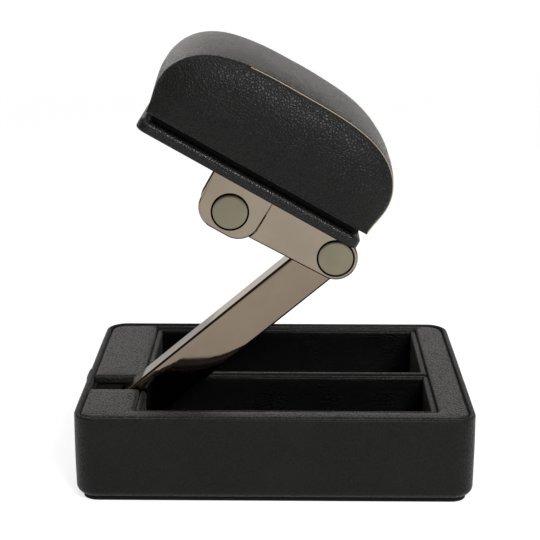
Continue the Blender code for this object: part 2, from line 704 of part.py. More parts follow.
def make_tray():
    # The tray is a stiff board, with leather glued over its top and round its edges.
    def tray_box(inset):
        return rounded_box(-TRAY_OFFSET - TRAY_LENGTH / 2 + inset, -TRAY_OFFSET + TRAY_LENGTH / 2 - inset,
                           -TRAY_DEPTH / 2 + inset, TRAY_DEPTH / 2 - inset, TRAY_CORNER - inset)

    low = TRAY_HEIGHT_OVER_PIN
    skin_inset = TRAY_SKIN + SEAT_GAP
    mesh = plate_mesh("tray_wrap", [tray_box(0.0)], low, tray_top)
    round_edges(mesh, TRAY_ROUND, 2, level_edge(2, tray_top))
    wrap = add_object("tray_wrap", mesh, parts, tilt_pivot)
    inside = make_cutter("tray_inside", plate_mesh("tray_inside", [tray_box(TRAY_SKIN)],
                                                   low - CUT_OVERRUN, tray_top - TRAY_SKIN), tilt_pivot)
    cut(wrap, inside)
    dress(wrap, LEATHER, 0.5)
    board = add_object("tray_board", plate_mesh(
        "tray_board", [tray_box(skin_inset)], low, tray_top - skin_inset), parts, tilt_pivot)
    pilots = [post_cutter("tray_pilot_%d" % number, x, y, SCREW_SHANK_RADIUS + SEAT_GAP, low - CUT_OVERRUN,
                          low - SEAT_GAP - FLANGE_THICKNESS - SEAT_GAP + flange_screw_length() + SEAT_GAP,
                          tilt_pivot)
              for number, (x, y) in enumerate(flange_screw_places(), 1)]
    cut(board, *pilots)
    dress(board, BLACK_BOARD, 0.7)


def cushion_profile(height_share, depth_share, inset):
    # One point of the D, seen from the front.  height_share runs from -1 at the left foot, over the
    # top at 0, to 1 at the right foot.  depth_share is -1 at the front seam and 1 at the rear one.
    half = CUSHION_LENGTH / 2
    share = abs(height_share)
    top_rise = CUSHION_HEIGHT - CUSHION_WAIST_HEIGHT
    if share < CUSHION_WAIST_SHARE:
        angle = math.pi / 2 * share / CUSHION_WAIST_SHARE
        x = half * math.sin(angle) ** (2 / CUSHION_TOP_POWER)
        z = CUSHION_WAIST_HEIGHT + top_rise * math.cos(angle)
    else:
        fall = (share - CUSHION_WAIST_SHARE) / (1 - CUSHION_WAIST_SHARE)
        x = half - CUSHION_DRAW_IN * math.sin(math.pi / 2 * fall) ** 2
        z = CUSHION_WAIST_HEIGHT * (1 - fall)
    crown_shape = (1 - depth_share ** 2) ** CUSHION_CROWN_POWER
    top_weight = math.cos(math.pi / 2 * min(1.0, x / half)) ** 2
    crown = crown_shape * (CUSHION_SIDE_CROWN + (CUSHION_CROWN - CUSHION_SIDE_CROWN) * top_weight)
    foot_fade = min(1.0, z / CUSHION_WAIST_HEIGHT)
    growth = crown * foot_fade - inset
    # The outward direction turns from straight up at the crown to level at the waist.
    lean = math.atan2(x / half, (z / CUSHION_HEIGHT) ** CUSHION_LEAN_POWER + CUSHION_LEAN_SHARE)
    x += growth * math.sin(lean)
    z += growth * math.cos(lean) if share < CUSHION_WAIST_SHARE else 0.0
    sign = 1 if height_share > 0 else -1
    return sign * x - skew_at(depth_share), max(z, 0.0)


def skew_at(depth_share):
    # The sewn cushion is a little out of square: its rear end sits further left.
    return CUSHION_SKEW * (1 + depth_share) / 2


def cushion_ring(depth_share, inset, y, floor):
    # One closed section of the cushion at the given depth, resting on the given floor height.
    points = []
    for index in range(CUSHION_PROFILE_STEPS + 1):
        share = -1 + 2 * index / CUSHION_PROFILE_STEPS
        x, z = cushion_profile(share, depth_share, inset)
        points.append((x - CUSHION_OFFSET, y, cushion_bottom + max(z, floor)))
    return points


def loft(name, rings, parent, close_ends=True, close_rings=True):
    # Skins a run of sections that all have the same number of points.
    work = bmesh.new()
    grid = [[work.verts.new(point) for point in ring] for ring in rings]
    count = len(rings[0])
    last = count if close_rings else count - 1
    for row, following in zip(grid, grid[1:]):
        for index in range(last):
            after = (index + 1) % count
            work.faces.new((row[index], row[after], following[after], following[index]))
    if close_ends:
        work.faces.new(grid[0])
        work.faces.new(grid[-1])
    bmesh.ops.recalc_face_normals(work, faces=work.faces)
    mesh = bpy.data.meshes.new(name)
    work.to_mesh(mesh)
    work.free()
    for polygon in mesh.polygons:
        polygon.use_smooth = True
    return add_object(name, mesh, parts, parent)


def make_cushion():
    seam = CUSHION_DEPTH / 2
    shares = [-1 + 2 * index / CUSHION_DEPTH_STEPS for index in range(CUSHION_DEPTH_STEPS + 1)]
    foam_inset = CUSHION_SKIN + SEAT_GAP

    board_side = CUSHION_LENGTH / 2 - CUSHION_BOARD_SIDE_INSET
    board_end = CUSHION_DEPTH / 2 - CUSHION_BOARD_END_INSET
    board = add_object("cushion_base", plate_mesh("cushion_base", [rounded_box(
        -CUSHION_OFFSET - board_side, -CUSHION_OFFSET + board_side, -board_end, board_end,
        CUSHION_BOARD_CORNER)], tray_top + SEAT_GAP, cushion_bottom - SEAT_GAP),
        parts, cushion_seat)
    dress(board, BLACK_BOARD, 0.8)

    # The band is the long strip of leather over the top: an outer and an inner skin joined at the edge.
    band_rings = []
    for share in shares:
        outer = cushion_ring(share, 0.0, share * seam, 0.0)
        inner = cushion_ring(share, CUSHION_SKIN, share * seam, 0.0)
        band_rings.append(outer + inner[::-1])
    dress(loft("cushion_band", band_rings, cushion_seat), LEATHER, 0.45)

    foam_half = seam - SEAT_GAP
    foam_rings = [cushion_ring(share, foam_inset, share * foam_half, foam_inset) for share in shares]
    dress(loft("cushion_foam", foam_rings, cushion_seat), FOAM, 0.9)

    # The bottom panel closes the band's two feet.
    panel_half = CUSHION_LENGTH / 2 - CUSHION_DRAW_IN - foam_inset
    panel_outline = rounded_outline([
        (sign * panel_half - CUSHION_OFFSET - skew_at(share), share * seam, CUSHION_SKIN)
        for sign, share in ((-1, -1), (1, -1), (1, 1), (-1, 1))])
    bottom = add_object("cushion_bottom_panel", plate_mesh(
        "cushion_bottom_panel", [panel_outline], cushion_bottom, cushion_bottom + CUSHION_SKIN),
        parts, cushion_seat)
    dress(bottom, LEATHER, 0.5)

    for side, word in ((-1, "front"), (1, "rear")):
        make_end_panel("cushion_%s_panel" % word, side, seam)


def make_end_panel(name, side, seam_distance):
    # A leather end: its edge meets the band at the seam, and its middle swells outwards.
    seam = side * (seam_distance + SEAT_GAP)
    edge = cushion_ring(side, 0.0, 0.0, 0.0)
    middle = Vector((-CUSHION_OFFSET - skew_at(side), 0.0,
                     cushion_bottom + CUSHION_HEIGHT * PANEL_CENTRE_SHARE))
    skins = []
    for thickness in (CUSHION_SKIN, 0.0):
        rings = []
        for share in PANEL_RING_SHARES:
            swell = CUSHION_END_BULGE * (1 - share ** PANEL_SWELL_POWER)
            y = seam + side * (swell + thickness)
            rings.append([(middle.x + (x - middle.x) * share, y, middle.z + (z - middle.z) * share)
                          for x, _, z in edge])
        skins.append(rings)
    rings = skins[0][::-1] + skins[1]
    dress(loft(name, rings, cushion_seat), LEATHER, 0.45)


clear_scene()
parts = make_collection("watch_stand")
cutters = make_collection("cutters")
base_pivot = make_pivot("base_pivot", arm_pivot_x, ARM_PIVOT_HEIGHT, 0.0)
arm_pivot = make_pivot("arm_pivot", 0.0, 0.0, -ARM_ANGLE, base_pivot)
elbow_pivot = make_pivot("elbow_pivot", ARM_REACH, -elbow_drop, ARM_ANGLE + LINK_ANGLE, arm_pivot)
tilt_pivot = make_pivot("tilt_pivot", -LINK_PIN_SPACING, -tilt_drop, HEAD_ANGLE - LINK_ANGLE, elbow_pivot)
cushion_seat = make_pivot("cushion_seat", 0.0, 0.0, 0.0, tilt_pivot)
make_base()
make_rim_pad()
make_liners()
make_saddle()
make_arm()
make_link()
make_bracket()
make_tray()
make_cushion()
bpy.context.view_layer.update()
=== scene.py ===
import math

import bmesh
import bpy
import numpy as np
from mathutils import Matrix, Vector, noise


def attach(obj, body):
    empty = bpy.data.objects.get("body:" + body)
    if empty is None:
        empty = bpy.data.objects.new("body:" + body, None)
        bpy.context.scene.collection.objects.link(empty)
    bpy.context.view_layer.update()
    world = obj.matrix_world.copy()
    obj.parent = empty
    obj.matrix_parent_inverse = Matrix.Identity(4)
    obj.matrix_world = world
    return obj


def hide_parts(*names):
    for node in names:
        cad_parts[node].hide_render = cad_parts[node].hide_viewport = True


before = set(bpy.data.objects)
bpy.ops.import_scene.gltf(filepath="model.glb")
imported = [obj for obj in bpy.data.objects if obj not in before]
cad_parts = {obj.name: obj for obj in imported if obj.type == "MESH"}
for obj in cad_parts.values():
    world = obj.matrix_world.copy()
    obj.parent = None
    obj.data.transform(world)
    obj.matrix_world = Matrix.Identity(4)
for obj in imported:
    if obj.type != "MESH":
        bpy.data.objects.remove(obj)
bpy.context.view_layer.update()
print("stage: frame loaded")

mm = 0.001

# where the moving pieces sit at rest, each with its own x along the piece and z across it
laneY = -13.8 * mm
armPivot = (-49.0, 15.46)
elbowPin = (18.4421, 69.8214)
tiltPin = (-13.7016, 84.2994)


def jointFrame(pin, degrees):
    place = Matrix.Translation((pin[0] * mm, laneY, pin[1] * mm))
    return place @ Matrix.Rotation(math.radians(degrees), 4, "Y") @ Matrix.Scale(mm, 4)


baseFrame = Matrix.Scale(mm, 4)
saddleFrame = jointFrame(armPivot, 0.0)
armFrame = jointFrame(armPivot, -40.2)
linkFrame = jointFrame(elbowPin, 28.2)
headFrame = jointFrame(tiltPin, 29.54)


# shader groups
def newGroup(name, inputs, outputs):
    group = bpy.data.node_groups.new(name, "ShaderNodeTree")
    for socketName, kind, value in inputs:
        socket = group.interface.new_socket(name=socketName, in_out="INPUT", socket_type=kind)
        if value is not None:
            socket.default_value = value
    for socketName, kind in outputs:
        group.interface.new_socket(name=socketName, in_out="OUTPUT", socket_type=kind)
    return group, group.nodes.new("NodeGroupInput"), group.nodes.new("NodeGroupOutput")


def join(tree, source, target):
    tree.links.new(source, target)


def feed(tree, target, value):
    if isinstance(value, bpy.types.NodeSocket):
        tree.links.new(value, target)
    else:
        target.default_value = value


def maths(tree, operation, first, second=0.0, clamp=False):
    node = tree.nodes.new("ShaderNodeMath")
    node.operation = operation
    node.use_clamp = clamp
    feed(tree, node.inputs[0], first)
    feed(tree, node.inputs[1], second)
    return node.outputs[0]


def between(tree, value, low, high, toLow=0.0, toHigh=1.0):
    node = tree.nodes.new("ShaderNodeMapRange")
    node.interpolation_type = "SMOOTHSTEP"
    for key, amount in (("Value", value), ("From Min", low), ("From Max", high), ("To Min", toLow),
                        ("To Max", toHigh)):
        feed(tree, node.inputs[key], amount)
    return node.outputs["Result"]


def noiseTexture(tree, vector, scale, detail=2.0, rough=0.5):
    node = tree.nodes.new("ShaderNodeTexNoise")
    for key, amount in (("Vector", vector), ("Scale", scale), ("Detail", detail), ("Roughness", rough)):
        feed(tree, node.inputs[key], amount)
    return node


def cells(tree, vector, scale):
    node = tree.nodes.new("ShaderNodeTexVoronoi")
    node.feature = "DISTANCE_TO_EDGE"
    feed(tree, node.inputs["Vector"], vector)
    feed(tree, node.inputs["Scale"], scale)
    return node.outputs["Distance"]


def mixColor(tree, factor, first, second):
    node = tree.nodes.new("ShaderNodeMix")
    node.data_type = "RGBA"
    for index, amount in ((0, factor), (6, first), (7, second)):
        feed(tree, node.inputs[index], amount)
    return node.outputs[2]


def vectorMaths(tree, operation, first, second):
    node = tree.nodes.new("ShaderNodeVectorMath")
    node.operation = operation
    feed(tree, node.inputs[0], first)
    feed(tree, node.inputs[3 if operation == "SCALE" else 1], second)
    return node.outputs[0]


def buildGrainGroup():
    # leather grain: domed pebbles with narrow creases, smaller cells inside them, and a slow mottle
    tree, start, end = newGroup("leatherGrain", [
        ("Vector", "NodeSocketVector", None), ("Pebbles Per Metre", "NodeSocketFloat", 1000.0),
        ("Warp", "NodeSocketFloat", 0.45), ("Crease Width", "NodeSocketFloat", 0.16),
        ("Small Share", "NodeSocketFloat", 0.25), ("Fine Share", "NodeSocketFloat", 0.1)],
        [("Height", "NodeSocketFloat"), ("Crease", "NodeSocketFloat"), ("Mottle", "NodeSocketFloat")])
    scaled = vectorMaths(tree, "SCALE", start.outputs["Vector"], start.outputs["Pebbles Per Metre"])
    drift = noiseTexture(tree, scaled, 0.6, 2.0).outputs["Color"]
    centred = vectorMaths(tree, "SUBTRACT", drift, (0.5, 0.5, 0.5))
    place = vectorMaths(tree, "ADD", scaled, vectorMaths(tree, "SCALE", centred, start.outputs["Warp"]))
    reach = cells(tree, place, 1.0)
    flat = between(tree, reach, 0.0, start.outputs["Crease Width"])
    dome = between(tree, reach, 0.0, 0.42)
    small = between(tree, cells(tree, place, 2.1), 0.0, 0.2)
    fine = noiseTexture(tree, place, 4.0, 3.0, 0.6).outputs["Fac"]
    pebble = maths(tree, "ADD", maths(tree, "MULTIPLY", flat, 0.65), maths(tree, "MULTIPLY", dome, 0.35))
    low = maths(tree, "MULTIPLY", small, start.outputs["Small Share"])
    tiny = maths(tree, "MULTIPLY", fine, start.outputs["Fine Share"])
    join(tree, maths(tree, "ADD", maths(tree, "ADD", pebble, low), tiny), end.inputs["Height"])
    join(tree, maths(tree, "SUBTRACT", 1.0, flat), end.inputs["Crease"])
    join(tree, noiseTexture(tree, start.outputs["Vector"], 70.0, 3.0).outputs["Fac"], end.inputs["Mottle"])
    return tree


def buildWearGroup():
    # fine hairlines, smudges and a slow waviness for polished metal
    tree, start, end = newGroup("polishMarks", [
        ("Vector", "NodeSocketVector", None), ("Line Stretch", "NodeSocketVector", (1.0, 1.0, 1.0)),
        ("Waves Per Metre", "NodeSocketFloat", 45.0)],
        [("Smudge", "NodeSocketFloat"), ("Hairline", "NodeSocketFloat"), ("Wave", "NodeSocketFloat")])
    smudge = noiseTexture(tree, start.outputs["Vector"], 90.0, 4.0, 0.6).outputs["Fac"]
    join(tree, between(tree, smudge, 0.35, 0.7), end.inputs["Smudge"])
    stretched = vectorMaths(tree, "MULTIPLY", start.outputs["Vector"], start.outputs["Line Stretch"])
    join(tree, noiseTexture(tree, stretched, 1500.0, 2.0).outputs["Fac"], end.inputs["Hairline"])
    slow = noiseTexture(tree, start.outputs["Vector"], start.outputs["Waves Per Metre"], 1.0)
    join(tree, slow.outputs["Fac"], end.inputs["Wave"])
    return tree


grainGroup = buildGrainGroup()
wearGroup = buildWearGroup()


# materials
def newMaterial(name):
    material = bpy.data.materials.new(name)
    material.use_nodes = True
    nodes = material.node_tree.nodes
    shader = nodes["Principled BSDF"]
    coordinates = nodes.new("ShaderNodeTexCoord").outputs["Object"]
    return material, material.node_tree, shader, coordinates


def leatherMaterial(name, look):
    material, tree, shader, place = newMaterial(name)
    grain = tree.nodes.new("ShaderNodeGroup")
    grain.node_tree = grainGroup
    join(tree, place, grain.inputs["Vector"])
    for key, value in (("Pebbles Per Metre", "pebbles"), ("Warp", "warp"), ("Crease Width", "crease"),
                       ("Small Share", "small"), ("Fine Share", "fine")):
        grain.inputs[key].default_value = look[value]
    height, crease, mottle = (grain.outputs[key] for key in ("Height", "Crease", "Mottle"))
    # the creases are drawn darker than the pebbles: painted shade in the creases; the mottle after it is the
    # leather's own random tone
    dark = (*(c * look["paintedCreaseShade"] for c in look["color"]), 1.0)
    light = (*(c * 1.8 for c in look["color"]), 1.0)
    shade = mixColor(tree, crease, (*look["color"], 1.0), dark)
    worn = mixColor(tree, between(tree, mottle, 0.4, 0.75, 0.0, look["mottle"]), shade, light)
    join(tree, worn, shader.inputs["Base Color"])
    rough = maths(tree, "ADD", maths(tree, "MULTIPLY", crease, look["creaseRough"]), look["roughness"])
    rough = maths(tree, "ADD", rough, maths(tree, "MULTIPLY", mottle, 0.06), clamp=True)
    join(tree, rough, shader.inputs["Roughness"])
    shader.inputs["Specular IOR Level"].default_value = look["specular"]
    shader.inputs["Sheen Weight"].default_value = look["sheen"]
    shader.inputs["Sheen Roughness"].default_value = 0.35
    shader.inputs["Sheen Tint"].default_value = (1.0, 0.98, 0.94, 1.0)
    bump = tree.nodes.new("ShaderNodeBump")
    bump.inputs["Strength"].default_value = look["strength"]
    bump.inputs["Distance"].default_value = look["depth"]
    join(tree, height, bump.inputs["Height"])
    join(tree, bump.outputs["Normal"], shader.inputs["Normal"])
    return material


def metalMaterial(name, look):
    material, tree, shader, place = newMaterial(name)
    marks = material.node_tree.nodes.new("ShaderNodeGroup")
    marks.node_tree = wearGroup
    join(tree, place, marks.inputs["Vector"])
    marks.inputs["Line Stretch"].default_value = look["stretch"]
    marks.inputs["Waves Per Metre"].default_value = look["waves"]
    smudge, line, wave = (marks.outputs[key] for key in ("Smudge", "Hairline", "Wave"))
    shade = mixColor(tree, smudge, (*look["color"], 1.0), (*(c * 0.93 for c in look["color"]), 1.0))
    join(tree, shade, shader.inputs["Base Color"])
    rough = maths(tree, "ADD", maths(tree, "MULTIPLY", smudge, look["smear"]), look["roughness"])
    join(tree, maths(tree, "ADD", rough, maths(tree, "MULTIPLY", line, 0.03), clamp=True),
         shader.inputs["Roughness"])
    shader.inputs["Metallic"].default_value = 1.0
    slow = material.node_tree.nodes.new("ShaderNodeBump")
    slow.inputs["Strength"].default_value = 1.0
    slow.inputs["Distance"].default_value = look["waveDepth"]
    join(tree, wave, slow.inputs["Height"])
    fine = material.node_tree.nodes.new("ShaderNodeBump")
    fine.inputs["Strength"].default_value = 0.25
    fine.inputs["Distance"].default_value = look["lineDepth"]
    join(tree, line, fine.inputs["Height"])
    join(tree, slow.outputs["Normal"], fine.inputs["Normal"])
    join(tree, fine.outputs["Normal"], shader.inputs["Normal"])
    return material


def boardMaterial(name, look):
    material, tree, shader, place = newMaterial(name)
    fibre = noiseTexture(tree, place, look["fibres"], 4.0, 0.65).outputs["Fac"]
    dark = tuple(c * 0.6 for c in look["color"])
    join(tree, mixColor(tree, fibre, (*dark, 1.0), (*look["color"], 1.0)), shader.inputs["Base Color"])
    join(tree, between(tree, fibre, 0.2, 0.8, look["roughness"] - 0.1, look["roughness"]),
         shader.inputs["Roughness"])
    shader.inputs["Specular IOR Level"].default_value = 0.15
    bump = material.node_tree.nodes.new("ShaderNodeBump")
    bump.inputs["Strength"].default_value = 0.5
    bump.inputs["Distance"].default_value = look["depth"]
    join(tree, fibre, bump.inputs["Height"])
    join(tree, bump.outputs["Normal"], shader.inputs["Normal"])
    return material


leatherLooks = {
    "padLeather": {"color": (0.012, 0.0118, 0.0110), "pebbles": 1050.0, "warp": 0.6, "crease": 0.22,
                   "small": 0.10, "fine": 0.08, "roughness": 0.27, "creaseRough": 0.3, "specular": 0.28,
                   "sheen": 0.12, "strength": 1.0, "depth": 0.00010, "mottle": 0.3, "paintedCreaseShade": 0.3},
    "wrapLeather": {"color": (0.0066, 0.0066, 0.0060), "pebbles": 1150.0, "warp": 0.6, "crease": 0.20,
                    "small": 0.12, "fine": 0.10, "roughness": 0.30, "creaseRough": 0.25, "specular": 0.20,
                    "sheen": 0.10, "strength": 0.9, "depth": 0.00007, "mottle": 0.3, "paintedCreaseShade": 0.5},
    # the wells' leather is drawn far darker than the wrap's: painted shade inside the wells
    "wellLeatherPaintedShade": {"color": (0.0014, 0.0014, 0.0013), "pebbles": 1100.0, "warp": 0.5, "crease": 0.20,
                    "small": 0.12, "fine": 0.10, "roughness": 0.25, "creaseRough": 0.3, "specular": 0.24,
                    "sheen": 0.05, "strength": 0.9, "depth": 0.00007, "mottle": 0.3, "paintedCreaseShade": 0.5},
    "trayLeather": {"color": (0.004, 0.004, 0.0036), "pebbles": 1200.0, "warp": 0.5, "crease": 0.20,
                    "small": 0.12, "fine": 0.10, "roughness": 0.24, "creaseRough": 0.3, "specular": 0.34,
                    "sheen": 0.05, "strength": 0.9, "depth": 0.00007, "mottle": 0.3, "paintedCreaseShade": 0.5},
    "cushionLeather": {"color": (0.0062, 0.0063, 0.0058), "pebbles": 1120.0, "warp": 0.6, "crease": 0.22,
                       "small": 0.10, "fine": 0.06, "roughness": 0.33, "creaseRough": 0.25, "specular": 0.22,
                       "sheen": 0.30, "strength": 1.0, "depth": 0.00009, "mottle": 0.25, "paintedCreaseShade": 0.25},
}
metalLooks = {
    "armMetal": {"color": (0.250, 0.199, 0.150), "roughness": 0.045, "smear": 0.03, "waves": 42.0,
                 "waveDepth": 0.00025, "lineDepth": 0.000003, "stretch": (0.05, 1.0, 0.05)},
    "linkMetal": {"color": (0.300, 0.250, 0.192), "roughness": 0.07, "smear": 0.04, "waves": 40.0,
                  "waveDepth": 0.00012, "lineDepth": 0.000003, "stretch": (0.05, 1.0, 0.05)},
    "pinMetal": {"color": (0.232, 0.210, 0.150), "roughness": 0.16, "smear": 0.06, "waves": 60.0,
                 "waveDepth": 0.00004, "lineDepth": 0.000006, "stretch": (0.1, 1.0, 0.1)},
    "plainSteel": {"color": (0.30, 0.30, 0.31), "roughness": 0.28, "smear": 0.1, "waves": 80.0,
                   "waveDepth": 0.00005, "lineDepth": 0.00001, "stretch": (1.0, 0.1, 1.0)},
}
boardLooks = {
    "blackBoard": {"color": (0.010, 0.010, 0.010), "fibres": 900.0, "roughness": 0.75, "depth": 0.00004},
    "coreBoard": {"color": (0.014, 0.013, 0.012), "fibres": 700.0, "roughness": 0.85, "depth": 0.00008},
    "washerPlastic": {"color": (0.03, 0.03, 0.03), "fibres": 1500.0, "roughness": 0.5, "depth": 0.00001},
    # near black for the gap round the pin caps: painted shade
    "paintedGrooveShade": {"color": (0.003, 0.003, 0.003), "fibres": 900.0, "roughness": 0.9, "depth": 0.00001},
    # the pale seam edge's colour is partly a painted highlight on the seam
    "rawEdgeWithPaintedHighlight": {"color": (0.42, 0.34, 0.27), "fibres": 2400.0, "roughness": 0.9, "depth": 0.00010},
}
materials = {name: leatherMaterial(name, look) for name, look in leatherLooks.items()}
materials.update({name: metalMaterial(name, look) for name, look in metalLooks.items()})
materials.update({name: boardMaterial(name, look) for name, look in boardLooks.items()})
print("stage: materials built")


# mesh helpers
def finishPiece(piece, body, material, stands=(), sharpAngle=40.0):
    piece.data.materials.clear()
    piece.data.materials.append(materials[material])
    piece.data.set_sharp_from_angle(angle=math.radians(sharpAngle))
    if stands:
        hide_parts(*stands)
    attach(piece, body)
    return piece


def pieceFromMesh(name, mesh):
    piece = bpy.data.objects.new(name, mesh)
    bpy.context.scene.collection.objects.link(piece)
    return piece


def meshFrom(name, points, faces, placing):
    mesh = bpy.data.meshes.new(name)
    mesh.from_pydata([tuple(p) for p in points], [], faces)
    mesh.transform(placing)
    work = bmesh.new()
    work.from_mesh(mesh)
    bmesh.ops.remove_doubles(work, verts=work.verts, dist=2e-6)
    bmesh.ops.dissolve_degenerate(work, edges=work.edges, dist=1e-6)
    bmesh.ops.recalc_face_normals(work, faces=work.faces)
    work.to_mesh(mesh)
    work.free()
    for polygon in mesh.polygons:
        polygon.use_smooth = True
    return mesh


def ringFaces(rows, count, closedRows=False, closedRing=True):
    # quads between rows of points that all have the same count
    faces = []
    last = rows if closedRows else rows - 1
    steps = count if closedRing else count - 1
    for row in range(last):
        here, there = row * count, ((row + 1) % rows) * count
        for step in range(steps):
            after = (step + 1) % count
            faces.append((here + step, here + after, there + after, there + step))
    return faces


def applied(piece):
    # the evaluated mesh in place of the modifiers
    bpy.context.view_layer.update()
    evaluated = piece.evaluated_get(bpy.context.evaluated_depsgraph_get())
    mesh = bpy.data.meshes.new_from_object(evaluated)
    old = piece.data
    piece.modifiers.clear()
    piece.data = mesh
    bpy.data.meshes.remove(old)
    mesh.name = piece.name
    return piece


def roundedRing(left, right, front, rear, radius, turnSteps=10, alongSteps=30, deepSteps=24):
    # points round a box with round corners, always the same count, starting at the left wall's rear end
    points = []
    corners = ((left + radius, front + radius, 180.0), (right - radius, front + radius, 270.0),
               (right - radius, rear - radius, 0.0), (left + radius, rear - radius, 90.0))
    for index, (x, y, start) in enumerate(corners):
        for step in range(turnSteps + 1):
            angle = math.radians(start + 90.0 * step / turnSteps)
            points.append((x + radius * math.cos(angle), y + radius * math.sin(angle)))
        nextX, nextY, nextStart = corners[(index + 1) % 4]
        angle = math.radians(nextStart)
        target = (nextX + radius * math.cos(angle), nextY + radius * math.sin(angle))
        steps = alongSteps if index % 2 == 0 else deepSteps
        begin = points[-1]
        for step in range(1, steps):
            share = step / steps
            points.append((begin[0] + (target[0] - begin[0]) * share,
                           begin[1] + (target[1] - begin[1]) * share))
    return points


def arcRun(centre, radius, start, end, steps):
    # points on an arc, in degrees
    return [(centre[0] + radius * math.cos(math.radians(start + (end - start) * i / steps)),
             centre[1] + radius * math.sin(math.radians(start + (end - start) * i / steps)))
            for i in range(steps + 1)]


def ripple(x, y, z, size, seed=0.0):
    # slow unevenness of stretched leather, from -1 to 1
    return noise.noise(Vector((x / size + seed, y / size - seed, z / size)))


# box
baseSizes = {"halfWidth": 60.5, "halfDepth": 45.25, "height": 27.2, "corner": 7.1, "bottom": 1.5,
             "hem": 6.0, "hemThickness": 1.2, "skin": 1.5, "lowerRound": 2.3, "rimRound": 0.72,
             "belly": 0.12, "ripple": 0.07, "seamFront": -11.0, "seamRear": -2.2, "seamHeight": 0.4}


def makeBoxLeather(s):
    low, top, lower, rim = s["bottom"], s["height"], s["lowerRound"], s["rimRound"]
    profile = [(s["hem"], low), (s["hem"] - 1.5, low)]
    profile += arcRun((lower, low + lower), lower, 270, 180, 8)
    profile += [(0.0, low + lower + (top - rim - low - lower) * i / 12) for i in range(1, 12)]
    profile += arcRun((rim, top - rim), rim, 180, 90, 7)
    profile += arcRun((s["skin"] - rim, top - rim), rim, 90, 0, 7)
    profile += [(s["skin"], top - 2.6), (s["skin"], low + s["hemThickness"]),
                (s["hem"], low + s["hemThickness"])]
    profile = [(inset, z) for inset, z in profile]
    points, count = [], 0
    for inset, z in profile:
        ring = roundedRing(-s["halfWidth"] + inset, s["halfWidth"] - inset, -s["halfDepth"] + inset,
                           s["halfDepth"] - inset, s["corner"] - inset, 14, 60, 60)
        count = len(ring)
        for x, y in ring:
            outside = 1.0 if inset < s["skin"] * 0.7 and z > low + 0.4 else 0.0
            tall = max(0.0, (z - low) / (top - low))
            push = -s["belly"] * (1.0 - math.sin(math.pi * min(1.0, tall)))
            push += s["ripple"] * ripple(x, y, z * 0.6, 14.0)
            # the wrap's overlapped seam on the left side
            if x < -s["halfWidth"] + 3.0:
                edge = (min(1.0, max(0.0, (y - s["seamFront"]) / 1.3))
                        * min(1.0, max(0.0, (s["seamRear"] - y) / 0.5)))
                push += s["seamHeight"] * edge * edge * (3 - 2 * edge)
            normal = Vector((0.0, 0.0, 0.0))
            if abs(x) > s["halfWidth"] - s["corner"] - 0.01:
                normal.x = x - math.copysign(s["halfWidth"] - s["corner"], x)
            if abs(y) > s["halfDepth"] - s["corner"] - 0.01:
                normal.y = y - math.copysign(s["halfDepth"] - s["corner"], y)
            normal = normal.normalized() if normal.length > 0 else normal
            points.append((x + normal.x * push * outside, y + normal.y * push * outside, z))
    mesh = meshFrom("boxLeather", points, ringFaces(len(profile), count, closedRows=True), baseFrame)
    return finishPiece(pieceFromMesh("boxLeather", mesh), "base", "wrapLeather", ["base_wrap"])


makeBoxLeather(baseSizes)


# padded top
padSizes = {"halfWidth": 58.45, "halfDepth": 43.2, "corner": 5.2, "bottom": 24.6, "top": 27.12,
            "left": -42.7, "right": 49.7, "front": -37.5, "rear": 40.9, "wellCorner": 1.3,
            "laneFront": -19.4, "laneRear": -8.2, "laneCorner": 0.8, "edgeRound": 1.05, "puff": 0.22,
            "ripple": 0.06}


def endRound(distance, radius):
    # how far a corner of this radius draws in at a distance from the end
    if distance >= radius:
        return 0.0
    return radius - math.sqrt(max(0.0, radius ** 2 - (radius - distance) ** 2))


def padStations(s):
    # pairs of an outer point and a well point, from the lane's rear edge round to its front edge
    near = [0.0, 0.06, 0.16, 0.3, 0.5, 0.75, 1.05, 1.5, 2.2, 3.2]
    outerX, wellX = -s["halfWidth"], s["left"]
    pairs = []

    def straight(startOut, endOut, startWell, endWell, steps, vertical, fixedOut, fixedWell):
        for i in range(1, steps):
            a = startOut + (endOut - startOut) * i / steps
            b = startWell + (endWell - startWell) * i / steps
            pairs.append(((fixedOut, a), (fixedWell, b)) if vertical else ((a, fixedOut), (b, fixedWell)))

    r, c = s["corner"], s["wellCorner"]
    wide, deep = s["halfWidth"] - r, s["halfDepth"] - r
    for d in near:
        draw = endRound(d, s["laneCorner"])
        y = s["laneRear"] + d
        pairs.append(((outerX + draw, y), (wellX - draw, y)))
    begin = s["laneRear"] + near[-1]
    straight(begin, deep, begin, s["rear"] - c, 26, True, outerX, wellX)
    turns = ((-wide, deep, 180, s["left"] + c, s["rear"] - c),
             (wide, deep, 90, s["right"] - c, s["rear"] - c),
             (wide, -deep, 0, s["right"] - c, s["front"] + c),
             (-wide, -deep, -90, s["left"] + c, s["front"] + c))
    runs = (("rear", 70), ("right", 56), ("front", 70), None)
    for (ox, oy, start, wx, wy), run in zip(turns, runs):
        outer = arcRun((ox, oy), r, start, start - 90, 12)
        well = arcRun((wx, wy), c, start, start - 90, 12)
        pairs.extend(zip(outer, well))
        if run and run[0] == "rear":
            straight(-wide, wide, s["left"] + c, s["right"] - c, run[1], False, s["halfDepth"], s["rear"])
        elif run and run[0] == "right":
            straight(deep, -deep, s["rear"] - c, s["front"] + c, run[1], True, s["halfWidth"], s["right"])
        elif run:
            straight(wide, -wide, s["right"] - c, s["left"] + c, run[1], False, -s["halfDepth"], s["front"])
    finish = s["laneFront"] - near[-1]
    straight(-deep, finish, s["front"] + c, finish, 22, True, outerX, wellX)
    for d in reversed(near):
        draw = endRound(d, s["laneCorner"])
        y = s["laneFront"] - d
        pairs.append(((outerX + draw, y), (wellX - draw, y)))
    return pairs


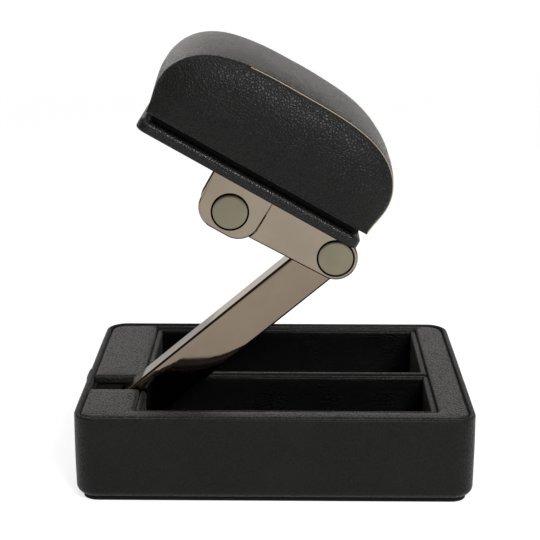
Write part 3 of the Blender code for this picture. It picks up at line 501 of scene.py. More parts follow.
def makePaddedTop(s):
    pairs = padStations(s)
    border = [outer for outer, well in pairs] + [well for outer, well in reversed(pairs)]
    a = np.array(border)
    b = np.roll(a, -1, axis=0)
    along = b - a
    lengths = np.maximum((along ** 2).sum(1), 1e-12)

    def edgeDistance(x, y):
        p = np.array((x, y))
        t = np.clip(((p - a) * along).sum(1) / lengths, 0.0, 1.0)
        return math.sqrt((((a + along * t[:, None]) - p) ** 2).sum(1).min())

    near = [0.0, 0.05, 0.14, 0.27, 0.45, 0.7, 1.0, 1.4]
    edgeRound, top = s["edgeRound"], s["top"]
    points = []
    count = 0
    for (ox, oy), (wx, wy) in pairs:
        width = math.hypot(wx - ox, wy - oy)
        inner = [near[-1] + (width - 2 * near[-1]) * i / 8 for i in range(1, 8)]
        across = near + inner + [width - d for d in reversed(near)]
        row = []
        for d in across:
            share = d / width
            x, y = ox + (wx - ox) * share, oy + (wy - oy) * share
            gap = edgeDistance(x, y)
            fall = edgeRound - math.sqrt(max(0.0, edgeRound ** 2 - (edgeRound - min(gap, edgeRound)) ** 2))
            puff = s["puff"] * (math.exp(-gap / 2.4) - 1.0) * -1.0
            z = top - s["puff"] - fall + puff + s["ripple"] * ripple(x, y, 3.0, 9.0, 4.0) * min(1.0, gap)
            row.append((x, y, z))
        # close the section: down the well wall, across the bottom, up the outer wall
        low = s["bottom"]
        row += [(wx, wy, (row[-1][2] + low) / 2), (wx, wy, low)]
        row += [(wx + (ox - wx) * i / 6, wy + (oy - wy) * i / 6, low) for i in range(1, 7)]
        row += [(ox, oy, (row[0][2] + low) / 2)]
        count = len(row)
        points.extend(row)
    faces = ringFaces(len(pairs), count)
    last = (len(pairs) - 1) * count
    faces.append(tuple(range(count)))
    faces.append(tuple(last + i for i in reversed(range(count))))
    mesh = meshFrom("paddedTop", points, faces, baseFrame)
    piece = finishPiece(pieceFromMesh("paddedTop", mesh), "base", "padLeather",
                        ["rim_pad"], 50.0)
    return piece


makePaddedTop(padSizes)
print("stage: box and padded top built")


# wells
wellSizes = {"left": -42.3, "right": 49.3, "bottom": 5.7, "floor": 6.9, "top": 26.4, "corner": 1.2,
             "lipRound": 0.85, "floorRound": 1.4, "wall": 1.8, "drawIn": 0.25, "ripple": 0.08,
             "laneFront": -19.4, "laneRear": -8.2, "laneSill": 8.4, "laneRound": 1.1}
frontWell = {"front": -37.1, "rear": -5.4, "rearWall": 1.8, "frontWall": 1.8, "lane": True}
rearWell = {"front": -5.1, "rear": 40.5, "rearWall": 1.8, "frontWall": 3.6, "lane": False}


def laneTop(y, s, top):
    # the left wall's top edge: level, then a rounded shoulder down into the lane
    outside = max(s["laneFront"] - y, y - s["laneRear"])
    if outside <= 0.0:
        return s["laneSill"]
    return top - endRound(outside, s["laneRound"]) if outside < s["laneRound"] else top


def wellStations(s, well):
    # round the well's outline, with closely spaced points where the lane's notch starts
    ring = roundedRing(s["left"], s["right"], well["front"], well["rear"], s["corner"], 8, 64, 40)
    if not well["lane"]:
        return [(x, y, None) for x, y in ring]
    stations = []
    spaced = [0.0, 0.02, 0.08, 0.2, 0.4, 0.7, 1.1]
    onWall = [(x, y) for x, y in ring if x < s["left"] + 0.001]
    done = False
    for x, y in ring:
        if x < s["left"] + 0.001 and well["front"] + s["corner"] < y < well["rear"] - s["corner"]:
            if not done:
                done = True
                ys = [v for _, v in onWall if v > s["laneRear"] + 1.3 and v < well["rear"] - s["corner"]]
                ys += [s["laneRear"] + d for d in reversed(spaced)
                       if s["laneRear"] + d < well["rear"] - s["corner"]]
                ys += [s["laneRear"] - 0.01 - (s["laneRear"] - s["laneFront"] - 0.02) * i / 8
                       for i in range(9)]
                ys += [s["laneFront"] - d for d in spaced]
                ys += [v for _, v in onWall if v < s["laneFront"] - 1.3 and v > well["front"] + s["corner"]]
                for v in sorted(ys, reverse=True):
                    stations.append((x, v, laneTop(v, s, s["top"])))
        else:
            stations.append((x, y, None))
    return stations


def makeWell(name, s, well, stands):
    stations = wellStations(s, well)
    lip, top = s["lipRound"], s["top"]
    points = []
    count = 0
    middleX, middleY = (s["left"] + s["right"]) / 2, (well["front"] + well["rear"]) / 2
    for x, y, cutTop in stations:
        # the way inwards from this point, and the wall's thickness on this side
        ax = x - min(max(x, s["left"] + s["corner"]), s["right"] - s["corner"])
        ay = y - min(max(y, well["front"] + s["corner"]), well["rear"] - s["corner"])
        length = math.hypot(ax, ay) or 1.0
        inX, inY = -ax / length, -ay / length
        wallX = s["wall"]
        wallY = well["frontWall"] if y < middleY else well["rearWall"]
        here = top if cutTop is None else cutTop
        tall = here - s["bottom"]
        row = []

        def put(shareIn, z, extra=0.0):
            # shareIn 0 is the outer face and 1 the inner face; extra goes further into the well
            moveX = inX * (wallX * shareIn + extra) * (1.0 if abs(inX) > 1e-6 else 0.0)
            moveY = inY * (wallY * shareIn + extra)
            if 0.0 < abs(inX) < 1.0:
                moveX = math.copysign(wallX * shareIn + extra, inX) * abs(inX) ** 0.3
                moveY = math.copysign(wallY * shareIn + extra, inY) * abs(inY) ** 0.3
            row.append((x + moveX, y + moveY, s["bottom"] + (z - s["bottom"]) * tall / (top - s["bottom"])))

        put(0.0, s["bottom"])
        put(0.0, top * 0.6)
        for px, pz in arcRun((lip, top - lip), lip, 180, 90, 6):
            put(px / s["wall"], pz)
        if well["frontWall"] > 2.0 and inY > 0.5:
            for i in range(1, 4):
                put(lip / s["wall"] + (1 - 2 * lip / s["wall"]) * i / 4,
                    top - 0.18 * math.sin(math.pi * i / 4))
        else:
            for i in range(1, 4):
                put(lip / s["wall"] + (1 - 2 * lip / s["wall"]) * i / 4, top)
        for px, pz in arcRun((s["wall"] - lip, top - lip), lip, 90, 0, 6):
            put(px / s["wall"], pz)
        for i in range(1, 9):
            z = top - lip - (top - lip - s["floor"] - s["floorRound"]) * i / 8
            inward = s["ripple"] * ripple(x, y, z, 8.0, 2.0) - s["drawIn"] * math.sin(math.pi * i / 8)
            put(1.0, z, inward)
        for px, pz in arcRun((s["floorRound"], s["floor"] + s["floorRound"]), s["floorRound"],
                             180, 270, 5)[1:]:
            put(1.0, pz, px)
        count = len(row)
        points.extend(row)
    faces = ringFaces(len(stations), count, closedRows=True, closedRing=False)
    inner = s["wall"] + s["floorRound"]
    floorBox = (s["left"] + inner, s["right"] - inner, well["front"] + well["frontWall"] + s["floorRound"],
                well["rear"] - well["rearWall"] - s["floorRound"])
    # the floor inside and the underside, each closed with rings that shrink to the middle
    for column in (count - 1, 0):
        border = [points[row * count + column] for row in range(len(stations))]
        previous = [row * count + column for row in range(len(stations))]
        for share in (0.97, 0.6, 0.2):
            fresh, spots = [], {}
            for bx, by, bz in border:
                if column:
                    # the floor is flat and square cornered, whatever the rounded border does
                    bx = min(max(bx, floorBox[0]), floorBox[1])
                    by = min(max(by, floorBox[2]), floorBox[3])
                    bz = s["floor"]
                spot = (round(middleX + (bx - middleX) * share, 6),
                        round(middleY + (by - middleY) * share, 6), bz)
                if spot not in spots:
                    spots[spot] = len(points)
                    points.append(spot)
                fresh.append(spots[spot])
            for i in range(len(border)):
                j = (i + 1) % len(border)
                face = tuple(dict.fromkeys((previous[i], previous[j], fresh[j], fresh[i])))
                if len(face) > 2:
                    faces.append(face)
            previous = fresh
        faces.append(tuple(dict.fromkeys(previous)))
    mesh = meshFrom(name, points, faces, baseFrame)
    return finishPiece(pieceFromMesh(name, mesh), "base", "wellLeatherPaintedShade", stands, 60.0)


makeWell("frontWell", wellSizes, frontWell, ["front_liner"])
makeWell("rearWell", wellSizes, rearWell, ["rear_liner"])
print("stage: wells built")


# flat metal shapes
def supportOutline(circles, inset, turns=144):
    # the outline of a band stretched round circles, one point for each direction
    points = []
    for step in range(turns):
        angle = 2 * math.pi * step / turns
        dx, dz = math.cos(angle), math.sin(angle)
        x, z, radius = max(circles, key=lambda c: c[0] * dx + c[1] * dz + c[2])
        reach = max(0.0, radius - inset)
        points.append((x + reach * dx, z + reach * dz))
    return points


def softPlate(name, circles, halfThickness, insets, placing):
    # a thick plate whose faces fall away towards the edge: insets are (from the edge, below the face)
    rows = []
    for side in (-1, 1):
        run = [(supportOutline(circles, inset), side * (halfThickness - drop)) for inset, drop in insets]
        rows.extend(run[::-1] if side < 0 else run)
    points = [(x, y, z) for outline, y in rows for x, z in outline]
    count = len(rows[0][0])
    faces = ringFaces(len(rows), count)
    faces.append(tuple(range(count)))
    faces.append(tuple((len(rows) - 1) * count + i for i in reversed(range(count))))
    return pieceFromMesh(name, meshFrom(name, points, faces, placing))


def straightPlate(name, outline, low, high, placing):
    # a plain plate from low to high in y, used as a cutter
    points = [(x, y, z) for y in (low, high) for x, z in outline]
    count = len(outline)
    faces = [tuple(range(count)), tuple(count + i for i in reversed(range(count)))]
    faces += [(i, (i + 1) % count, count + (i + 1) % count, count + i) for i in range(count)]
    return pieceFromMesh(name, meshFrom(name, points, faces, placing))


def disc(x, z, radius, steps=64):
    return [(x + radius * math.cos(2 * math.pi * i / steps), z + radius * math.sin(2 * math.pi * i / steps))
            for i in range(steps)]


def carve(piece, cutters):
    for cutter in cutters:
        modifier = piece.modifiers.new("carve", "BOOLEAN")
        modifier.operation = "DIFFERENCE"
        modifier.solver = "EXACT"
        modifier.object = cutter
    applied(piece)
    for cutter in cutters:
        bpy.data.objects.remove(cutter, do_unlink=True)
    work = bmesh.new()
    work.from_mesh(piece.data)
    bmesh.ops.remove_doubles(work, verts=work.verts, dist=2e-6)
    work.to_mesh(piece.data)
    work.free()
    for polygon in piece.data.polygons:
        polygon.use_smooth = True
    return piece


mechanism = {"armHalf": 4.5, "forkHalf": 4.8, "linkHalf": 6.3, "pinRadius": 2.2, "boreGap": 0.3,
             "washerSeat": 3.9, "washerDepth": 0.5, "capRadius": 5.40, "capRing": 0.45, "capThickness": 0.6,
             "reach": 86.6, "armWidth": 13.1, "tip": 4.54, "shoulderBack": 9.5, "armCrown": 0.22,
             "crownPower": 4.0, "spacing": 35.17, "linkWidth": 13.56, "tail": 4.35, "topCorner": 2.3,
             "topLength": 33.0, "seatGap": 0.2,
             "softEdge": ((0.0, 0.46), (0.05, 0.38), (0.36, 0.07), (0.42, 0.025), (0.6, 0.01), (1.0, 0.0))}
armDrop = mechanism["armWidth"] / 2 - mechanism["tip"]
tailDrop = mechanism["linkWidth"] / 2 - mechanism["tail"]


def boreCutters(x, z, placing, s, seats=True):
    cutters = [straightPlate("bore", disc(x, z, s["pinRadius"] + s["boreGap"]), -9.0, 9.0, placing)]
    if seats:
        for low, high in ((-9.0, -s["armHalf"] + s["washerDepth"]), (s["armHalf"] - s["washerDepth"], 9.0)):
            cutters.append(straightPlate("seat", disc(x, z, s["washerSeat"]), low, high, placing))
    return cutters


def capSeatCutters(x, z, placing, s):
    deep = s["linkHalf"] - s["capThickness"] - s["boreGap"]
    radius = s["capRadius"] + s["capRing"]
    return [straightPlate("capSeat", disc(x, z, radius, 96), -9.0, -deep, placing),
            straightPlate("capSeat", disc(x, z, radius, 96), deep, 9.0, placing)]


def paintGrooveShade(piece, placing, s):
    # painted shade: the ring round a pin's cap and its seat are drawn near black
    piece.data.materials.append(materials["paintedGrooveShade"])
    back = placing.inverted()
    seat = s["linkHalf"] - s["capThickness"] - s["boreGap"]
    for polygon in piece.data.polygons:
        spot = back @ polygon.center
        level = abs((back.to_3x3() @ polygon.normal).normalized().y)
        near = math.hypot(spot.x, spot.z) < s["capRadius"] + s["capRing"] + 0.03
        if near and (abs(abs(spot.y) - seat) < 0.06 or level < 0.7 and abs(spot.y) > seat - 0.06):
            polygon.material_index = 1
    return piece


def makeArm(s):
    half = s["armWidth"] / 2
    circles = [(0.0, 0.0, half), (s["reach"], -armDrop, s["tip"]),
               (s["reach"] - s["shoulderBack"], half - 1.0, 1.0)]
    # polishing has crowned the faces: they fall away towards the long edges, then a small chamfer follows
    insets = [(0.0, 0.70), (0.05, 0.60), (0.37, 0.28), (0.43, 0.225)]
    insets += [(inset, s["armCrown"] * ((half - inset) / half) ** s["crownPower"])
               for inset in (0.55, 0.8, 1.2, 1.7, 2.3, 3.0, 3.8, 4.4)]
    arm = softPlate("armBar", circles, s["armHalf"], insets, armFrame)
    carve(arm, boreCutters(0.0, 0.0, armFrame, s) + boreCutters(s["reach"], -armDrop, armFrame, s))
    return finishPiece(arm, "lower_arm", "armMetal", ["arm"], 25.0)


def bracketCircles(growth=0.0, top=12.7):
    side, corner, drop = 9.9 + growth, 7.0, 7.1
    return [(-(9.9 - corner), corner - drop, corner + growth),
            (9.9 - corner, corner - drop, corner + growth),
            (-side, top + growth, 0.0), (side, top + growth, 0.0)]


def makeLink(s):
    half = s["linkWidth"] / 2
    circles = [(0.0, 0.0, half), (-s["spacing"], -tailDrop, s["tail"]),
               (-s["topLength"], half - s["topCorner"], s["topCorner"])]
    link = softPlate("linkFork", circles, s["linkHalf"], s["softEdge"], linkFrame)
    reach = half + 2.0
    fork = [(reach, reach), (-15.0, reach), (-15.0, half - 4.6), (-24.0, half - 4.6), (-31.5, half - 9.8),
            (-31.5, -reach), (reach, -reach)]
    cutters = [straightPlate("fork", fork, -s["forkHalf"], s["forkHalf"], linkFrame)]
    seatOutline = supportOutline(bracketCircles(s["seatGap"]), 0.0, 144)
    cutters.append(straightPlate("frontSeat", seatOutline, -9.0, -s["armHalf"], headFrame))
    cutters.append(straightPlate("rearSeat", seatOutline, s["armHalf"], 9.0, headFrame))
    cutters += capSeatCutters(0.0, 0.0, linkFrame, s)
    cutters += boreCutters(0.0, 0.0, linkFrame, s, seats=False)
    cutters += boreCutters(-s["spacing"], -tailDrop, linkFrame, s)
    carve(link, cutters)
    finishPiece(link, "upper_link", "linkMetal", ["link"], 25.0)
    return paintGrooveShade(link, linkFrame, s)


def makeBracket(s):
    bracket = softPlate("bracketClevis", bracketCircles(), s["linkHalf"], s["softEdge"], headFrame)
    gap = [(-12.0, -9.5), (12.0, -9.5), (12.0, 9.9), (-12.0, 9.9)]
    cutters = [straightPlate("gap", gap, -s["forkHalf"], s["forkHalf"], headFrame)]
    cutters += capSeatCutters(0.0, 0.0, headFrame, s)
    cutters += boreCutters(0.0, 0.0, headFrame, s, seats=False)
    carve(bracket, cutters)
    finishPiece(bracket, "tray", "linkMetal", ["bracket"], 25.0)
    return paintGrooveShade(bracket, headFrame, s)


def makeFlange():
    ring = [roundedRing(-17.0 + i, 19.0 - i, -12.5 + i, 12.5 - i, 2.0 - i, 8, 4, 4) for i in (0.2, 0.0)]
    count = len(ring[0])
    levels = ((0, 11.0), (1, 11.2), (1, 12.5), (0, 12.7))
    points = [(x, y, z) for index, z in levels for x, y in ring[index]]
    faces = ringFaces(4, count) + [tuple(range(count)),
                                   tuple(3 * count + i for i in reversed(range(count)))]
    flange = pieceFromMesh("bracketFlange", meshFrom("bracketFlange", points, faces, headFrame))
    holes = []
    for x, y in flangeScrews:
        outline = [(x + 1.3 * math.cos(a), y + 1.3 * math.sin(a)) for a in
                   (2 * math.pi * i / 32 for i in range(32))]
        hole = [(px, py, z) for z in (9.0, 14.0) for px, py in outline]
        sides = [(i, (i + 1) % 32, 32 + (i + 1) % 32, 32 + i) for i in range(32)]
        sides += [tuple(range(32)), tuple(32 + i for i in reversed(range(32)))]
        holes.append(pieceFromMesh("hole", meshFrom("hole", hole, sides, headFrame)))
    carve(flange, holes)
    return finishPiece(flange, "tray", "linkMetal", (), 25.0)


flangeScrews = [(x, y) for x in (-13.8, 15.8) for y in (-9.3, 9.3)]


def lathe(name, profile, placing, steps=96):
    # (radius, y) points spun about the y axis; the ends lie on the axis
    points = [(radius * math.cos(a), y, radius * math.sin(a))
              for radius, y in profile for a in (2 * math.pi * i / steps for i in range(steps))]
    faces = ringFaces(len(profile), steps)
    faces.append(tuple(range(steps)))
    faces.append(tuple((len(profile) - 1) * steps + i for i in reversed(range(steps))))
    return pieceFromMesh(name, meshFrom(name, points, faces, placing))


def makePins(s):
    face, cap, shaft = s["linkHalf"], s["capRadius"], s["pinRadius"]
    dome = [(0.3, -face), (cap * 0.5, -face + 0.004), (cap * 0.8, -face + 0.02), (cap - 0.3, -face + 0.05),
            (cap - 0.12, -face + 0.1), (cap, -face + 0.25)]
    for name, node, placing, body in (("elbowPin", "elbow_pin", linkFrame, "upper_link"),
                                      ("tiltPin", "tilt_pin", headFrame, "tray")):
        front = lathe(name, dome + [(cap, -face + 0.6), (shaft, -face + 0.6), (shaft, face - 0.9),
                                    (0.2, face - 0.9)], placing)
        back = lathe(name + "Cap", [(r, -y) for r, y in dome] + [(cap, face - 0.6), (0.3, face - 0.6)],
                     placing)
        for piece, stands in ((front, [node]), (back, [node + "_cap"])):
            finishPiece(piece, body, "pinMetal", stands, 30.0)
            paintGrooveShade(piece, placing, s)


makeArm(mechanism)
makeLink(mechanism)
makeBracket(mechanism)
makeFlange()
makePins(mechanism)
print("stage: arm, link, bracket and pins built")


# screws, by geometry nodes
def buildScrewTree():
    # a pan head with a cross recess on a plain shank, placed on every point of the incoming mesh
    tree = bpy.data.node_groups.new("screwsOnPoints", "GeometryNodeTree")
    for socketName, kind, value in (("Geometry", "NodeSocketGeometry", None),
                                    ("Head Radius", "NodeSocketFloat", 0.0018),
                                    ("Head Height", "NodeSocketFloat", 0.0008),
                                    ("Shank Radius", "NodeSocketFloat", 0.0010),
                                    ("Shank Length", "NodeSocketFloat", 0.003),
                                    ("Turn", "NodeSocketVector", (0.0, 0.0, 0.0)),
                                    ("Seed", "NodeSocketInt", 3),
                                    ("Finish", "NodeSocketMaterial", None)):
        socket = tree.interface.new_socket(name=socketName, in_out="INPUT", socket_type=kind)
        if value is not None:
            socket.default_value = value
    tree.interface.new_socket(name="Geometry", in_out="OUTPUT", socket_type="NodeSocketGeometry")
    nodes, links = tree.nodes, tree.links
    start, end = nodes.new("NodeGroupInput"), nodes.new("NodeGroupOutput")

    def moved(geometry, height):
        node = nodes.new("GeometryNodeTransform")
        place = nodes.new("ShaderNodeCombineXYZ")
        links.new(height, place.inputs["Z"])
        links.new(geometry, node.inputs["Geometry"])
        links.new(place.outputs[0], node.inputs["Translation"])
        return node.outputs["Geometry"]

    def cone(sides, bottom, top, depth):
        node = nodes.new("GeometryNodeMeshCone")
        node.inputs["Vertices"].default_value = sides
        for key, value in (("Radius Bottom", bottom), ("Radius Top", top), ("Depth", depth)):
            links.new(value, node.inputs[key])
        return node.outputs["Mesh"]

    radius, height = start.outputs["Head Radius"], start.outputs["Head Height"]
    shankRadius, shankLength = start.outputs["Shank Radius"], start.outputs["Shank Length"]
    lower = cone(40, radius, radius, maths(tree, "MULTIPLY", height, 0.5))
    upper = moved(cone(40, radius, maths(tree, "MULTIPLY", radius, 0.72),
                       maths(tree, "MULTIPLY", height, 0.5)),
                  maths(tree, "MULTIPLY", height, 0.5))
    shank = moved(cone(24, maths(tree, "MULTIPLY", shankRadius, 0.5), shankRadius,
                       maths(tree, "ADD", shankLength, maths(tree, "MULTIPLY", height, 0.2))),
                  maths(tree, "MULTIPLY", shankLength, -1.0))
    union = nodes.new("GeometryNodeMeshBoolean")
    union.operation = "UNION"
    for geometry in (lower, upper, shank):
        links.new(geometry, union.inputs["Mesh 2"])
    blades = nodes.new("GeometryNodeJoinGeometry")
    for wide in (True, False):
        box = nodes.new("GeometryNodeMeshCube")
        size = nodes.new("ShaderNodeCombineXYZ")
        links.new(maths(tree, "MULTIPLY", radius, 1.15 if wide else 0.26), size.inputs["X"])
        links.new(maths(tree, "MULTIPLY", radius, 0.26 if wide else 1.15), size.inputs["Y"])
        links.new(maths(tree, "MULTIPLY", height, 1.1), size.inputs["Z"])
        links.new(size.outputs[0], box.inputs["Size"])
        links.new(moved(box.outputs["Mesh"], height), blades.inputs["Geometry"])
    recess = nodes.new("GeometryNodeMeshBoolean")
    recess.operation = "DIFFERENCE"
    links.new(union.outputs["Mesh"], recess.inputs["Mesh 1"])
    links.new(blades.outputs[0], recess.inputs["Mesh 2"])
    spin = nodes.new("FunctionNodeRandomValue")
    spin.data_type = "FLOAT"
    spin.inputs[2].default_value = 0.0
    spin.inputs[3].default_value = math.pi / 2
    links.new(start.outputs["Seed"], spin.inputs["Seed"])
    about = nodes.new("ShaderNodeCombineXYZ")
    links.new(spin.outputs[1], about.inputs["Z"])
    place = nodes.new("GeometryNodeInstanceOnPoints")
    links.new(start.outputs["Geometry"], place.inputs["Points"])
    links.new(recess.outputs["Mesh"], place.inputs["Instance"])
    links.new(start.outputs["Turn"], place.inputs["Rotation"])
    twist = nodes.new("GeometryNodeRotateInstances")
    links.new(place.outputs["Instances"], twist.inputs["Instances"])
    links.new(about.outputs[0], twist.inputs["Rotation"])
    real = nodes.new("GeometryNodeRealizeInstances")
    links.new(twist.outputs["Instances"], real.inputs["Geometry"])
    paint = nodes.new("GeometryNodeSetMaterial")
    links.new(real.outputs["Geometry"], paint.inputs["Geometry"])
    links.new(start.outputs["Finish"], paint.inputs["Material"])
    links.new(paint.outputs["Geometry"], end.inputs[0])
    return tree


def runTree(name, tree, source, values):
    # one geometry nodes modifier, its inputs set by identifier, then turned into a plain mesh
    modifier = source.modifiers.new(name, "NODES")
    modifier.node_group = tree
    identifiers = {item.name: item.identifier for item in tree.interface.items_tree
                   if item.item_type == "SOCKET" and item.in_out == "INPUT"}
    for key, value in values.items():
        modifier[identifiers[key]] = value
    applied(source)
    source.name = name
    return source


def makeScrews():
    tree = buildScrewTree()
    sets = (("bracketScrews", [(x, y, 10.7) for x, y in flangeScrews], headFrame,
             (math.pi, math.radians(29.54), 0.0), 0.0036, "tray",
             ["bracket_screw_1", "bracket_screw_2", "bracket_screw_3", "bracket_screw_4"]),
            ("saddleScrews", [(-5.6, 0.0, -7.86), (3.5, 0.0, -7.86)], saddleFrame,
             (0.0, 0.0, 0.0), 0.003, "base", ["saddle_screw_1", "saddle_screw_2"]))
    for name, places, placing, turn, length, body, stands in sets:
        mesh = bpy.data.meshes.new(name)
        mesh.from_pydata(places, [], [])
        mesh.transform(placing)
        piece = runTree(name, tree, pieceFromMesh(name, mesh),
                        {"Shank Length": length, "Turn": turn, "Finish": materials["plainSteel"]})
        for polygon in piece.data.polygons:
            polygon.use_smooth = True
        finishPiece(piece, body, "plainSteel", stands, 30.0)


makeScrews()
print("stage: screws built")


# tray
traySizes = {"left": -36.9, "right": 35.3, "halfDepth": 28.2, "low": 13.0, "high": 16.4, "seat": 16.67,
             "groove": (1.6, 2.1, 2.6), "grooveDepth": 0.12, "seatStart": 3.4, "seatEnd": 9.0, "corner": 3.2,
             "lowRound": 0.8, "topRound": 1.2, "turnIn": 7.0, "under": 13.9, "ripple": 0.05}


def makeTray(s):
    low, high, a, b = s["low"], s["high"], s["lowRound"], s["topRound"]
    profile = [(s["turnIn"], low), (3.0, low)] + arcRun((a, low + a), a, 270, 180, 6)
    profile += arcRun((b, high - b), b, 180, 90, 8)
    # inside its edge the tray is padded up to the cushion's board, which rests on it
    outer, middle, inner = s["groove"]
    profile += [(outer, high), (middle, high - s["grooveDepth"]), (inner, high),
                (s["seatStart"], s["seat"]), (s["seatEnd"], s["seat"])]
    points, count = [], 0
    for inset, z in profile:
        ring = roundedRing(s["left"] + inset, s["right"] - inset, -s["halfDepth"] + inset,
                           s["halfDepth"] - inset, max(0.3, s["corner"] - inset), 10, 50, 40)
        count = len(ring)
        for x, y in ring:
            lift = s["ripple"] * ripple(x, y, z, 9.0, 7.0) if inset < 3.0 else 0.0
            points.append((x, y, z + lift if z > low + 0.5 else z))
    faces = ringFaces(len(profile), count)
    faces.append(tuple((len(profile) - 1) * count + i for i in reversed(range(count))))
    # the leather is turned in under the board and ends there; the board shows in the middle
    inner = [i for i in range(count)]
    start = len(points)
    points.extend([(points[i][0], points[i][1], s["under"]) for i in inner])
    faces += [(inner[i], inner[(i + 1) % count], start + (i + 1) % count, start + i) for i in range(count)]
    faces.append(tuple(start + i for i in range(count)))
    mesh = meshFrom("trayLeather", points, faces, headFrame)
    piece = finishPiece(pieceFromMesh("trayLeather", mesh), "tray", "trayLeather",
                        ["tray_wrap"], 50.0)
    board = roundedRing(s["left"] + s["turnIn"] - 0.1, s["right"] - s["turnIn"] + 0.1,
                        -s["halfDepth"] + s["turnIn"] - 0.1, s["halfDepth"] - s["turnIn"] + 0.1,
                        0.6, 4, 10, 10)
    count = len(board)
    points = [(x, y, z) for z in (low + 0.05, s["under"] - 0.02) for x, y in board]
    faces = ringFaces(2, count) + [tuple(range(count)), tuple(count + i for i in reversed(range(count)))]
    under = pieceFromMesh("trayUnderBoard", meshFrom("trayUnderBoard", points, faces, headFrame))
    finishPiece(under, "tray", "blackBoard", ["tray_board"], 30.0)
    return piece


makeTray(traySizes)


# cushion
cushionSizes = {"half": 37.0, "offset": -0.4, "bottom": 18.72, "height": 25.93, "waist": 9.33, "drawIn": 1.1,
                "seam": 28.1, "skew": 1.2, "crown": 1.9, "topPower": 3.5, "waistShare": 0.78,
                "steps": 168, "footSteps": 44, "lineInset": 2.5, "lineDepth": 0.16,
                "lineWidth": 0.3, "lineFrom": 7.0, "lineFade": 5.0, "upperFade": 11.0,
                "bandCloth": 0.35, "panelCloth": 0.15, "seamDip": 0.28,
                "footRound": 1.5, "bulge": 0.84, "lowBulge": 0.60, "ripple": 0.12,
                "paintedHighlightFrom": -17.0, "paleThickness": 0.00036}
# how far the end panels stand out of the seam's plane, by distance from the seam
panelRise = ((0.0, 0.0), (0.3, 0.43), (0.7, 0.87), (1.2, 1.32), (1.8, 1.79), (2.4, 2.23), (3.2, 2.75),
             (4.2, 3.30), (5.4, 3.81), (6.8, 4.24), (8.4, 4.57), (10.5, 4.81), (13.0, 4.90), (40.0, 4.90))


def cushionOutline(s, depthShare):
    # the D seen from the front: left foot, over the top, right foot, and back along the bottom
    run = []
    for index in range(s["steps"] + 1):
        share = -1.0 + 2.0 * index / s["steps"]
        size = abs(share)
        if size < s["waistShare"]:
            angle = math.pi / 2 * size / s["waistShare"]
            x = s["half"] * math.sin(angle) ** (2 / s["topPower"])
            z = s["waist"] + (s["height"] - s["waist"]) * math.cos(angle)
        else:
            fall = (size - s["waistShare"]) / (1 - s["waistShare"])
            x = s["half"] - s["drawIn"] * math.sin(math.pi / 2 * fall) ** 2
            z = s["waist"] * (1 - fall)
        run.append((math.copysign(x, share) if share else 0.0, z))
    foot = run[-1][0]
    run += [(foot - 2 * foot * i / s["footSteps"], 0.0) for i in range(1, s["footSteps"])]
    slide = s["offset"] - s["skew"] * (1 + depthShare) / 2
    return [(x + slide, z + s["bottom"]) for x, z in run]


def outlineNormals(outline):
    a = np.array(outline)
    before, after = np.roll(a, 1, axis=0), np.roll(a, -1, axis=0)
    tangent = after - before
    normal = np.stack([-tangent[:, 1], tangent[:, 0]], 1)
    return normal / np.maximum(np.linalg.norm(normal, axis=1)[:, None], 1e-9)


def cushionGrid(s):
    # rings from the rear face's middle, over the band, to the front face's middle
    count = s["steps"] + s["footSteps"]
    scales = [1.0 - 0.02 * i for i in range(26)] + [0.44, 0.37, 0.30, 0.22, 0.14, 0.06]
    fine = (0.992, 0.978, 0.955, 0.92, 0.87, 0.80, 0.71, 0.61, 0.50, 0.38, 0.26, 0.13)
    rows = []

    def facePanel(side):
        outline = cushionOutline(s, side)
        middleX = s["offset"] - s["skew"] * (1 + side) / 2
        middleZ = s["bottom"] + s["height"] * 0.42
        return [([(middleX + (x - middleX) * k, side * s["seam"], middleZ + (z - middleZ) * k)
                  for x, z in outline], ("panel", k)) for k in scales]

    rows += facePanel(1)[::-1]
    for share in fine + (0.0,) + tuple(-v for v in reversed(fine)):
        rows.append(([(x, share * s["seam"], z) for x, z in cushionOutline(s, share)], ("band", share)))
    rows += facePanel(-1)
    points = [p for ring, kind in rows for p in ring]
    faces = ringFaces(len(rows), count)
    faces.append(tuple(range(count)))
    faces.append(tuple((len(rows) - 1) * count + i for i in reversed(range(count))))
    return points, faces, [kind for ring, kind in rows], count


coverCloth = {"quality": 5, "mass": 0.2, "stiffness": 12.0, "bending": 0.4, "pressure": 4.0,
              "lastFrame": 20}


def inflate(mesh, pinned, c):
    # cloth under pressure, held along the seams and the foot; gives where each point would come to rest
    piece = pieceFromMesh("cushionSimulation", mesh)
    group = piece.vertex_groups.new(name="held")
    group.add(pinned, 1.0, "REPLACE")
    cloth = piece.modifiers.new("cloth", "CLOTH")
    cloth.settings.quality = c["quality"]
    cloth.settings.mass = c["mass"]
    cloth.settings.tension_stiffness = c["stiffness"]
    cloth.settings.compression_stiffness = c["stiffness"]
    cloth.settings.bending_stiffness = c["bending"]
    cloth.settings.vertex_group_mass = "held"
    cloth.settings.use_pressure = True
    cloth.settings.uniform_pressure_force = c["pressure"]
    cloth.settings.effector_weights.gravity = 0.0
    cloth.point_cache.frame_start = 1
    cloth.point_cache.frame_end = c["lastFrame"]
    for step in range(1, c["lastFrame"] + 1):
        bpy.context.scene.frame_set(step)
    evaluated = piece.evaluated_get(bpy.context.evaluated_depsgraph_get())
    moved = np.array([v.co for v in evaluated.data.vertices])
    bpy.data.objects.remove(piece, do_unlink=True)
    bpy.context.scene.frame_set(1)
    return moved


